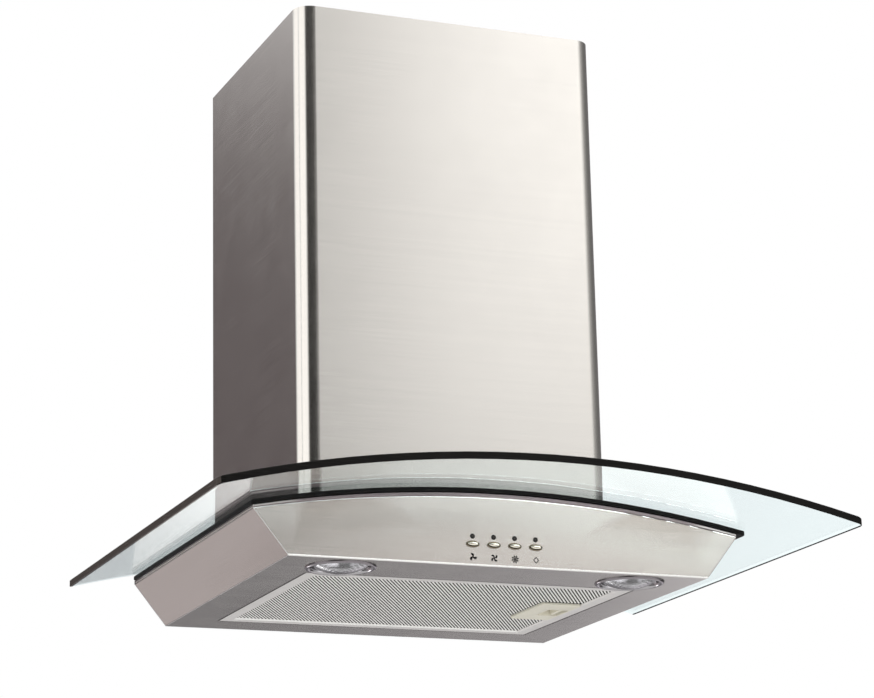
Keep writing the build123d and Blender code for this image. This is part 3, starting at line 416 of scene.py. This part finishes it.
def lens_glass(name="lamp_glass"):
    """Moulded lamp lens: clear glass with shallow rings pressed into it."""
    m = Mat(name)
    co = m.obj()
    x, y, z = m.xyz(co)
    ax = m.math("SUBTRACT", m.math("ABSOLUTE", x), 0.140)
    ay = m.math("ADD", y, 0.3295)
    rad = m.math("SQRT", m.math("ADD", m.math("MULTIPLY", ax, ax), m.math("MULTIPLY", ay, ay)))
    ribs = m.math("SINE", m.math("MULTIPLY", rad, 2100.0))
    haze = m.noise(co, 120.0, 3.0)
    m.principled(Base_Color=m.mixc(haze, (0.80, 0.80, 0.82), (0.90, 0.90, 0.91)), Roughness=m.maprange(haze, 0.3, 0.8, 0.03, 0.10), IOR=1.45,
                 Transmission_Weight=1.0, Normal=m.bump(m.math("ADD", m.math("MULTIPLY", ribs, 0.5), m.math("MULTIPLY", haze, 0.4)), 0.12, 0.0004))
    return m


def ring_chrome(name="ring_chrome"):
    """Plated lamp flange: clean on the dome, darkening towards its outer edge with painted shade and a painted dark
    reflection.
    """
    m = Mat(name)
    co = m.obj()
    x, y, z = m.xyz(co)
    ax = m.math("SUBTRACT", m.math("ABSOLUTE", x), 0.140)
    ay = m.math("ADD", y, 0.3295)
    rad = m.math("SQRT", m.math("ADD", m.math("MULTIPLY", ax, ax), m.math("MULTIPLY", ay, ay)))
    # painted shade and painted dark reflection: the colour darkens with radius to near-black at the outer edge
    tone = m.ramp(m.maprange(rad, 0.0260, 0.0322, 0.0, 1.0),
                  [(0.0, (0.62, 0.60, 0.62)), (0.30, (0.58, 0.56, 0.58)), (0.62, (0.40, 0.37, 0.40)), (0.86, (0.34, 0.31, 0.33)),
                   (0.955, (0.22, 0.20, 0.21)), (1.0, (0.05, 0.047, 0.05))])
    haze = m.noise(co, 260.0, 3.0, 0.6)
    m.principled(Base_Color=m.mixc(m.math("MULTIPLY", haze, 0.30), tone, (0.20, 0.185, 0.195)), Metallic=1.0,
                 Roughness=m.maprange(haze, 0.2, 0.8, 0.04, 0.14))
    return m


def bulb_glass(name="quartz"):
    m = Mat(name)
    co = m.obj()
    z = m.xyz(co)[2]
    haze = m.noise(co, 300.0, 2.0)
    cap = m.math("GREATER_THAN", z, 0.023)
    m.principled(Base_Color=m.mixc(cap, (0.96, 0.96, 0.93), (0.62, 0.60, 0.56)), Roughness=m.maprange(haze, 0.2, 0.8, 0.08, 0.3),
                 IOR=1.45, Transmission_Weight=m.mixf(cap, 0.85, 0.0))
    return m


def board(name="circuit_board"):
    m = Mat(name)
    co = m.obj()
    x, y, z = m.xyz(co)
    brick = m.n("ShaderNodeTexBrick")
    m.put(brick.inputs["Vector"], m.comb(m.math("MULTIPLY", x, 260.0), m.math("MULTIPLY", z, 260.0), 0.0))
    brick.inputs["Color1"].default_value = (0.020, 0.095, 0.045, 1)
    brick.inputs["Color2"].default_value = (0.030, 0.130, 0.060, 1)
    brick.inputs["Mortar"].default_value = (0.075, 0.21, 0.10, 1)
    fine = m.noise(co, 500.0, 2.0)
    m.principled(Base_Color=m.mixc(m.math("MULTIPLY", fine, 0.3), brick.outputs[0], (0.01, 0.05, 0.03)),
                 Roughness=m.maprange(fine, 0.2, 0.8, 0.3, 0.5), Normal=m.bump(brick.outputs[1], 0.2, 0.0002))
    return m


def lens_dark(name="indicator_window"):
    """Smoked round window, paler towards its middle."""
    m = Mat(name)
    x, y, z = m.xyz(m.obj())
    best = None
    for bx in (-0.0299, -0.0097, 0.0104, 0.0306):
        d = m.math("SQRT", m.math("ADD", m.math("POWER", m.math("SUBTRACT", x, bx), 2.0),
                                  m.math("POWER", m.math("SUBTRACT", z, 0.0263), 2.0)))
        best = d if best is None else m.math("MINIMUM", best, d)
    col = m.ramp(m.math("MULTIPLY", best, 400.0), [(0.0, (0.075, 0.066, 0.058)), (0.30, (0.030, 0.026, 0.023)), (0.55, (0.014, 0.012, 0.011)), (1.0, (0.010, 0.009, 0.008))])
    swirl = m.noise(m.obj(), 800.0, 2.0)
    m.principled(Base_Color=col, Roughness=m.maprange(swirl, 0.2, 0.8, 0.08, 0.2), Specular_IOR_Level=0.35)
    return m


steel = brushed("brushed_steel")
# the shell's front face gets a far darker tint than the rest of the sheet: painted shade
steel_body = brushed("brushed_steel_body", tint=(0.645, 0.615, 0.585), fascia=(0.445, 0.388, 0.35))
steel_deck = brushed("brushed_steel_deck", rough=0.27)
# the deck rim: the same steel painted much darker, as painted shade under the seal and glass
steel_lip = brushed("brushed_steel_lip", tint=(0.23, 0.195, 0.20), rough=0.30)
zinc_m = zinc()
# the button rims: chrome with a dark brown base colour, a painted dark reflection that draws their outlines
rim_chrome = metal("rim_chrome", (0.27, 0.235, 0.185), 0.12, 0.05, scale=900.0)
flange = ring_chrome()
button_chrome = metal("button_chrome", (0.80, 0.76, 0.66), 0.10, 0.03, scale=700.0)
screw_zinc = metal("zinc_screw", (0.62, 0.62, 0.60), 0.28, 0.1, scale=900.0)
shaft_m = metal("ground_steel", (0.58, 0.58, 0.59), 0.2, 0.1, scale=1200.0)
reflector = metal("reflector", (0.62, 0.61, 0.62), 0.16, 0.05, scale=600.0)
filter_alu = frame_metal()
mesh_alu = strands()
mesh_top = strands("mesh_aluminium_top", up=True)
core_alu = wire_core()
cream = plastic("cream_plastic", (0.69, 0.66, 0.56), 0.42, 0.2)
grey_pl = plastic("grey_plastic", (0.16, 0.17, 0.18), 0.5, 0.3)
black_pl = plastic("black_plastic", (0.018, 0.018, 0.020), 0.42, 0.35)
white_pl = plastic("white_plastic", (0.74, 0.73, 0.70), 0.45, 0.25)
motor_m = plastic("motor_paint", (0.11, 0.115, 0.12), 0.38, 0.4, scale=700.0, coat=0.1)
seal_m = rubber()
pane = glass_pane()
lamp_glass = lens_glass()
quartz = bulb_glass()
pcb = board()
window = lens_dark()

assign(steel, "chimney_cover", "chimney_extension")
assign(steel_body, "canopy_shell")
assign(steel_deck, "top_deck")
assign(steel_lip, "deck_rim")
assign(zinc_m, "back_panel", "chimney_brackets", "flue_wall_bracket", "hanger_plate", "blower_box", "blower_box_top",
       "blower_foot_frame", "motor_bracket", "impeller_disc", "fan_blades", "fan_rings")
assign(seal_m, "glass_seal", "glass_grommets")
assign(pane, "glass_canopy")
assign(screw_zinc, "glass_screws", "glass_nuts", "blower_box_screws", "lamp_clips", "filter_hooks")
assign(rim_chrome, "button_bezels")
assign(button_chrome, "button_1", "button_2", "button_3", "button_4")
assign(flange, "lamp_ring_left", "lamp_ring_right")
assign(lamp_glass, "lamp_lens_left", "lamp_lens_right")
assign(reflector, "lamp_reflector_left", "lamp_reflector_right")
assign(quartz, "lamp_bulbs")
assign(filter_alu, "filter_frame")
assign(mesh_alu, "filter_mesh_lower")
assign(mesh_top, "filter_mesh_upper")
assign(core_alu, "filter_core")
assign(cream, "filter_handle", "filter_latch")
assign(grey_pl, "scroll_left", "scroll_right", "damper_flap_front", "damper_flap_rear")
assign(black_pl, "outlet_collar", "collar_plate", "damper_bar", "cable_gland", "switch_bank")
assign(white_pl, "run_capacitor", "terminal_box", "terminal_box_lid", "terminal_block", "lamp_transformer")
assign(motor_m, "motor")
assign(shaft_m, "motor_shaft")
assign(pcb, "switch_board")
assign(window, "indicator_lenses")


# ------------------------------------------------------------------ pieces
def new_object(name, verts, faces, mat, smooth=False):
    me = bpy.data.meshes.new(name)
    me.from_pydata(verts, [], faces)
    me.update()
    if smooth:
        for p in me.polygons:
            p.use_smooth = True
    me.materials.append(mat.m)
    ob = bpy.data.objects.new(name, me)
    scene.collection.objects.link(ob)
    return ob


def expanded_metal(name, x0, x1, y0, y1, z0, holes, mat, body, node, sx=0.00358, turn=1):
    """Sheet of expanded aluminium. The strands of one slant are broad and lie in front, those of the other slant
    are narrow and lie behind them, as the slit sheet is drawn out. z0 is the level of the front; turn is 1 for a
    front that looks down and -1 for one that looks up."""
    verts, faces = [], []
    sy = sx * math.tan(math.radians(58.5))
    nx = int((x1 - x0) / sx) + 2
    ny = int((y1 - y0) / sy) + 2

    def inside(p):
        if not (x0 <= p[0] <= x1 and y0 <= p[1] <= y1):
            return False
        return not any(hx0 < p[0] < hx1 and hy0 < p[1] < hy1 for hx0, hx1, hy0, hy1 in holes)

    def strand(a, b, width, za, zb, lean):
        d = Vector((b[0] - a[0], b[1] - a[1])).normalized()
        nrm = Vector((-d.y, d.x))
        k = len(verts)
        for p in ((a[0] - d.x * 0.00015, a[1] - d.y * 0.00015), (b[0] + d.x * 0.00015, b[1] + d.y * 0.00015)):
            for sgn, z, dz in ((-1, za, lean), (1, za, 0.0), (1, zb, 0.0), (-1, zb, 0.0)):
                verts.append((p[0] + nrm.x * width * sgn / 2, p[1] + nrm.y * width * sgn / 2, z + dz))
        quads = [(k, k + 3, k + 2, k + 1), (k + 4, k + 5, k + 6, k + 7), (k, k + 1, k + 5, k + 4),
                 (k + 1, k + 2, k + 6, k + 5), (k + 2, k + 3, k + 7, k + 6), (k + 3, k, k + 4, k + 7)]
        faces.extend(quads if turn > 0 else [q[::-1] for q in quads])

    for j in range(-1, 2 * ny):
        for i in range(-1, nx + 1):
            x = x0 + i * sx + (j % 2) * sx / 2
            y = y0 + j * sy / 2
            for sgn in (-1, 1):
                a, b = (x, y), (x + sgn * sx / 2, y + sy / 2)
                if inside(a) and inside(b):
                    if sgn > 0:
                        strand(a, b, 0.47 * sx, z0, z0 + 0.00012 * turn, 0.0)
                    else:
                        strand(a, b, 0.11 * sx, z0 + 0.00016 * turn, z0 + 0.00026 * turn, 0.0)
    ob = new_object(name, verts, faces, mat)
    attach(ob, body)
    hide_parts(node)
    return ob


lo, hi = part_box("filter_mesh_lower")
expanded_metal("filter_mesh_face", lo.x + 0.003, hi.x - 0.003, lo.y + 0.003, hi.y - 0.003, lo.z + 0.00002,
               [(0.1075, 0.149, -0.2087, -0.1313)], mesh_alu, "filter", "filter_mesh_lower")
lo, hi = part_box("filter_mesh_upper")
expanded_metal("filter_mesh_back", lo.x + 0.0005, hi.x - 0.0005, lo.y + 0.0005, hi.y - 0.0005, hi.z - 0.00002,
               [], mesh_top, "filter", "filter_mesh_upper", sx=0.0068, turn=-1)


def turned(name, profile, mat, node, centre=(0.0, 0.0), n=128, body="root", plane="XY", squash=None):
    """A smooth turned piece about a vertical axis (plane XY) or, made oval, about one square to the front (XZ)."""
    verts, faces = [], []
    m = len(profile)
    for k in range(n):
        a = 2 * math.pi * k / n
        for pr in profile:
            if plane == "XY":
                verts.append((centre[0] + pr[0] * math.cos(a), centre[1] + pr[0] * math.sin(a), pr[1]))
            else:
                ra, rb, y = pr
                verts.append((centre[0] + ra * math.cos(a), y, centre[1] + rb * math.sin(a)))
    for k in range(n):
        q = (k + 1) % n
        for i in range(m):
            j = (i + 1) % m
            faces.append((k * m + i, q * m + i, q * m + j, k * m + j))
    bm = bmesh.new()
    vs = [bm.verts.new(v) for v in verts]
    for fc in faces:
        bm.faces.new([vs[i] for i in fc])
    bmesh.ops.remove_doubles(bm, verts=bm.verts[:], dist=1e-7)
    bmesh.ops.dissolve_degenerate(bm, dist=1e-8, edges=bm.edges[:])
    bmesh.ops.recalc_face_normals(bm, faces=bm.faces[:])
    me = bpy.data.meshes.new(name)
    bm.to_mesh(me)
    bm.free()
    for p in me.polygons:
        p.use_smooth = True
    me.set_sharp_from_angle(angle=math.radians(38))
    me.materials.append(mat.m)
    ob = bpy.data.objects.new(name, me)
    scene.collection.objects.link(ob)
    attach(ob, body)
    if node:
        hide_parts(node)
    return ob


def bulge(r, z, z0, steps, first=0.0):
    """Points of a spherical cap from its pole (0, z0) to its rim (r, z)."""
    h = z - z0
    big = (r * r + h * h) / (2 * h)
    out = []
    for k in range(steps + 1):
        rr = first + (r - first) * math.sin(math.pi / 2 * k / steps)
        out.append((rr, z0 + big - math.sqrt(big * big - rr * rr)))
    return out


MM = 0.001
for s_, tag in ((-1, "left"), (1, "right")):
    at = (s_ * 0.140, -0.3295)
    ring = [(26.4, 1.2), (26.5, 0.3), (26.8, -0.5), (27.3, -1.2), (28.0, -1.75), (28.8, -2.02), (29.6, -2.1), (30.4, -1.98),
            (31.1, -1.65), (31.6, -1.2), (31.9, -0.7), (32.0, -0.3), (32.0, 0.0), (29.2, 0.0), (29.2, 14.0), (27.9, 14.0),
            (27.9, 3.2), (26.4, 3.2)]
    turned(f"lamp_flange_{tag}", [(a * MM, b * MM) for a, b in ring], flange, f"lamp_ring_{tag}", at)
    lens = bulge(26.0, 1.6, -6.0, 22, 0.0)[1:] + [(26.0, 3.2), (27.7, 3.2), (27.7, 5.0)] + bulge(25.0, 5.0, -3.2, 18, 0.0)[::-1]
    lens = [(0.0, -6.0)] + lens
    turned(f"lamp_glass_{tag}", [(a * MM, b * MM) for a, b in lens], lamp_glass, f"lamp_lens_{tag}", at)

# control symbols: generic fan wheels and a lamp, as thin printed marks
def symbol(name, loops, cx, cz, size):
    bm = bmesh.new()
    y = -0.36704
    for loop in loops:
        vs = [bm.verts.new((cx + px * size, y, cz + pz * size)) for px, pz in loop]
        bm.faces.new(vs)
    bmesh.ops.solidify(bm, geom=bm.faces[:], thickness=0.00004)
    bmesh.ops.recalc_face_normals(bm, faces=bm.faces[:])
    me = bpy.data.meshes.new(name)
    bm.to_mesh(me)
    bm.free()
    me.materials.append(ink.m)
    ob = bpy.data.objects.new(name, me)
    scene.collection.objects.link(ob)
    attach(ob, "root")
    return ob


ink = plastic("printed_ink", (0.010, 0.009, 0.012), 0.5, 0.15, scale=2500.0, var=0.2)


def petal(angle, r0_, r1_, half, skew):
    """A rounded fan blade that swells outwards and leans to one side."""
    pts = []
    for k in range(9):
        t = k / 8.0
        rr = r0_ + (r1_ - r0_) * t
        w = half * math.sin(math.pi * min(1.0, 0.18 + 0.82 * t)) ** 0.6
        a = angle + skew * t - w
        pts.append((rr * math.cos(a), rr * math.sin(a)))
    for k in range(8, -1, -1):
        t = k / 8.0
        rr = r0_ + (r1_ - r0_) * t
        w = half * math.sin(math.pi * min(1.0, 0.18 + 0.82 * t)) ** 0.6
        a = angle + skew * t + w + 0.02
        pts.append((rr * math.cos(a), rr * math.sin(a)))
    return pts


def disc(rad, n=20):
    return [(rad * math.cos(2 * math.pi * k / n), rad * math.sin(2 * math.pi * k / n)) for k in range(n)]


ICON_Z = 0.0077
for i, (bx, blades, half, skew, start) in enumerate(((-0.0299, 3, 0.55, 0.62, 1.35), (-0.0095, 4, 0.46, 0.70, 0.10),
                                                     (0.0105, 8, 0.28, 0.12, 0.20))):
    loops = [disc(0.24)]
    for k in range(blades):
        loops.append(petal(2 * math.pi * k / blades + start, 0.18, 1.0, half, skew))
    symbol(f"fan_symbol_{i + 1}", loops, bx, ICON_Z, 0.0038)


def ring_loop(points, t):
    """A closed outline of width t around a convex polygon, as quads."""
    out = []
    c = (sum(p[0] for p in points) / len(points), sum(p[1] for p in points) / len(points))
    inner = [(c[0] + (p[0] - c[0]) * (1 - t), c[1] + (p[1] - c[1]) * (1 - t)) for p in points]
    n = len(points)
    for k in range(n):
        out.append([points[k], points[(k + 1) % n], inner[(k + 1) % n], inner[k]])
    return out


# lamp: a small diamond outline
lamp_loops = ring_loop([(0.0, -0.92), (0.86, 0.05), (0.0, 0.98), (-0.86, 0.05)], 0.36)
symbol("lamp_symbol", lamp_loops, 0.0307, ICON_Z, 0.0033)


# oval push buttons and their rims, smooth
OUT_Y = -0.367
for i, bx in enumerate((-0.0299, -0.0097, 0.0104, 0.0306)):
    top = [(4.95, 1.60, 10.5), (4.95, 1.60, -1.2), (4.85, 1.52, -1.75), (4.55, 1.36, -2.15), (4.0, 1.12, -2.35), (3.0, 0.80, -2.45), (1.6, 0.40, -2.49),
           (0.0, 0.0, -2.5), (0.0, 0.0, 10.5)]
    turned(f"push_button_{i + 1}", [(a * MM, b * MM, OUT_Y + c * MM) for a, b, c in top], button_chrome, f"button_{i + 1}",
           (bx, 0.0192), n=96, body=f"button_{i + 1}", plane="XZ")
rims = None
for i, bx in enumerate((-0.0299, -0.0097, 0.0104, 0.0306)):
    prof = [(5.9, 2.5, 4.0), (5.9, 2.5, 0.0), (6.6, 3.15, 0.0), (6.58, 3.13, -0.25), (6.45, 3.02, -0.55), (6.2, 2.79, -0.80), (5.95, 2.56, -0.9),
            (5.7, 2.32, -0.82), (5.45, 2.09, -0.6), (5.3, 1.95, -0.3), (5.3, 1.95, 4.0)]
    ob = turned(f"button_rim_{i + 1}", [(a * MM, b * MM, OUT_Y + c * MM) for a, b, c in prof], rim_chrome, "button_bezels" if i == 0 else None,
                (bx, 0.0192), n=96, plane="XZ")


# ------------------------------------------------------------------ stage
bpy.ops.mesh.primitive_plane_add(size=5.0, location=(0, -0.3, -1.55))
floor = bpy.context.active_object
floor.name = "floor"
fm = Mat("pale_floor")
fm.principled(Base_Color=fm.mixc(fm.noise(fm.obj(), 3.0, 2.0), (0.80, 0.80, 0.79), (0.86, 0.86, 0.85)), Roughness=0.85)
floor.data.materials.append(fm.m)


def area(name, loc, target, size, power, color=(1, 1, 1), size_y=None):
    ld = bpy.data.lights.new(name, "AREA")
    ld.energy = power
    ld.color = color
    ld.shape = "RECTANGLE"
    ld.size = size
    ld.size_y = size_y or size
    ob = bpy.data.objects.new(name, ld)
    scene.collection.objects.link(ob)
    ob.location = loc
    ob.rotation_euler = (Vector(target) - Vector(loc)).to_track_quat("-Z", "Y").to_euler()
    ob.visible_camera = False
    return ob


# world: a studio seen only in reflections and as fill; plain white to the camera and through glass
world = bpy.data.worlds.new("studio")
scene.world = world
world.use_nodes = True
wt = Mat.__new__(Mat)
wt.t = world.node_tree
wt.t.nodes.clear()
wt.x = 0
wt.out = wt.t.nodes.new("ShaderNodeOutputWorld")
dx, dy, dz = wt.xyz(wt.n("ShaderNodeTexCoord").outputs["Generated"])
az = wt.math("FRACT", wt.math("ADD", wt.math("DIVIDE", wt.math("ARCTAN2", dx, dy), 2 * math.pi), 1.0))
elev = wt.math("ARCSINE", dz)
PEAK = 2.0


def band(stops, tint=(1.0, 0.985, 0.965)):
    out = []
    for st in stops:
        c = st[2] if len(st) > 2 else tint
        out.append((st[0] / 360.0, tuple(min(1.0, st[1] * k / PEAK) for k in c)))
    return wt.ramp(az, out)


NEUTRAL, PINK, COOL = (1.0, 0.99, 0.975), (1.0, 0.835, 0.86), (1.0, 0.955, 1.0)
HIGH = [(0, 0.30, COOL), (45, 0.20, COOL), (85, 0.15), (105, 0.25), (122, 0.55), (132, 1.05), (142, 1.55), (150, 1.65), (153, 1.62, NEUTRAL), (156, 1.50, NEUTRAL),
        (158.0, 1.34, NEUTRAL), (160.0, 0.42, NEUTRAL), (163, 0.42, NEUTRAL), (167, 0.42), (171, 0.22), (175, 0.06, (1, 0.9, 0.8)),
        (182, 0.02, (1, 0.9, 0.8)), (224, 0.02, (1, 0.9, 0.8)), (228, 0.20), (232, 1.10), (237, 1.32), (274.0, 1.32), (277.0, 0.30), (280.0, 1.32),
        (318, 1.25), (328, 0.50), (334, 0.115, PINK), (352, 0.115, PINK), (360, 0.30, COOL)]
around = band(HIGH)
LOW = [(0, 0.34, COOL), (14, 0.28, COOL), (16, 0.17, COOL), (18, 0.17, COOL), (19.6, 0.20, COOL), (23, 0.265, COOL), (26, 0.305, COOL), (27.8, 0.57, COOL), (31, 0.78, COOL),
       (38, 0.50, COOL), (46, 0.12), (66, 0.10), (74, 0.5), (92, 0.6), (110, 1.25), (140, 1.60), (170, 1.70), (186, 1.0), (196, 0.12), (236, 0.12), (248, 1.1),
       (284, 1.1), (296, 0.14), (322, 0.14), (331, 0.45, (1, 0.89, 0.885)), (347, 0.50, (1, 0.89, 0.885)), (360, 0.34, COOL)]
low_tone = band(LOW, (1, 1, 1))
# the front faces' part of the studio brightens upwards; so does that of the chimney's left side, near its top
front_part = wt.ramp(az, [(0.0, 0.0), (95 / 360, 0.0), (125 / 360, 1.0), (168 / 360, 1.0), (176 / 360, 0.0), (1.0, 0.0)])
rise = wt.ramp(wt.maprange(elev, 0.0, math.radians(30), 0.0, 1.0),
               [(0.0, 0.26), (0.22, 0.36), (0.36, 0.55), (0.48, 0.84), (0.60, 1.04), (1.0, 1.06)])
rise_f = wt.mixf(front_part, 1.0, rise)
# low down, the front part is more even from left to right
even = wt.math("MULTIPLY", wt.ramp(az, [(0.0, 0.0), (138 / 360, 0.0), (146 / 360, 1.0), (154.5 / 360, 1.0), (157.5 / 360, 0.0), (1.0, 0.0)]),
               wt.maprange(elev, math.radians(8.0), math.radians(14.0), 0.60, 0.0))
left = wt.math("MULTIPLY", wt.ramp(az, [(0.0, 0.0), (157.5 / 360, 0.0), (160 / 360, 1.0), (167 / 360, 1.0), (171 / 360, 0.0), (1.0, 0.0)]),
               wt.maprange(elev, math.radians(7.0), math.radians(10.5), 1.6, 0.0))
rise_f = wt.math("MULTIPLY", rise_f, wt.math("ADD", wt.math("SUBTRACT", 1.0, even), left))
side_part = wt.ramp(az, [(0.0, 0.0), (326 / 360, 0.0), (331 / 360, 1.0), (354 / 360, 1.0), (1.0, 0.0)])
lift = wt.math("MULTIPLY", side_part, wt.maprange(elev, math.radians(20.5), math.radians(25.0), 0.0, 0.95 / PEAK))
high = wt.vmath("ADD", wt.vmath("MULTIPLY", around, wt.comb(rise_f, rise_f, rise_f)), wt.comb(lift, lift, lift))
e_low = wt.maprange(elev, math.radians(-9), math.radians(-3), 1.0, 0.0)
e_deep = wt.maprange(elev, math.radians(-62), math.radians(-48), 1.0, 0.0)
e_top = wt.maprange(elev, math.radians(40), math.radians(58), 0.0, 1.0)
studio = wt.mixc(e_low, high, low_tone)
studio = wt.mixc(e_deep, studio, (0.16, 0.155, 0.155))
studio = wt.mixc(e_top, studio, (0.70, 0.69, 0.68))
# a bright strip low in front, which the fascia's lower fold picks up as a fine line
strip = wt.math("MULTIPLY", wt.ramp(az, [(0.0, 0.0), (118 / 360, 0.0), (130 / 360, 1.0), (176 / 360, 1.0), (184 / 360, 0.0), (1.0, 0.0)]),
                wt.math("MULTIPLY", wt.maprange(elev, math.radians(-30), math.radians(-36), 0.0, 1.0),
                        wt.maprange(elev, math.radians(-58), math.radians(-52), 0.0, 1.0)))
studio = wt.mixc(strip, studio, (1.0, 1.0, 0.98))
# a bright patch low behind, for the lamps' lenses
patch = wt.math("MULTIPLY", wt.ramp(wt.math("FRACT", wt.math("ADD", az, 0.5)), [(0.0, 0.0), (168 / 360, 0.0), (172 / 360, 1.0), (186 / 360, 1.0), (190 / 360, 0.0), (1.0, 0.0)]),
                wt.math("MULTIPLY", wt.maprange(elev, math.radians(-20), math.radians(-24), 0.0, 1.0),
                        wt.maprange(elev, math.radians(-42), math.radians(-37), 0.0, 1.0)))
studio = wt.vmath("MULTIPLY", studio, (PEAK, PEAK, PEAK))
patch = wt.math("MULTIPLY", patch, 2.6)
studio = wt.vmath("ADD", studio, wt.comb(patch, patch, patch))
lp = wt.n("ShaderNodeLightPath")
clean = wt.math("MULTIPLY", wt.math("LESS_THAN", lp.outputs["Glossy Depth"], 0.5), wt.math("LESS_THAN", lp.outputs["Diffuse Depth"], 0.5))
through = wt.math("MULTIPLY", clean, wt.math("GREATER_THAN", lp.outputs["Transmission Depth"], 0.5))
white = wt.mixc(through, (1.0, 1.0, 1.0), (1.16, 1.16, 1.16))
color = wt.mixc(lp.outputs["Is Diffuse Ray"], studio, (0.80, 0.80, 0.80))
color = wt.mixc(clean, color, white)
bg = wt.n("ShaderNodeBackground")
wt.put(bg.inputs[0], color)
bg.inputs[1].default_value = 1.0
wt.t.links.new(bg.outputs[0], wt.out.inputs[0])

for lamp in (area("key", (1.8, -2.6, 2.2), (0, -0.2, 0.2), 1.2, 18.0, (1.0, 0.985, 0.96)),
             area("fill_left", (-2.6, -1.4, 1.0), (0, -0.2, 0.2), 1.2, 8.0),
             area("under", (0.2, -1.6, -1.3), (0, -0.2, 0.0), 1.6, 6.5)):
    lamp.visible_glossy = False
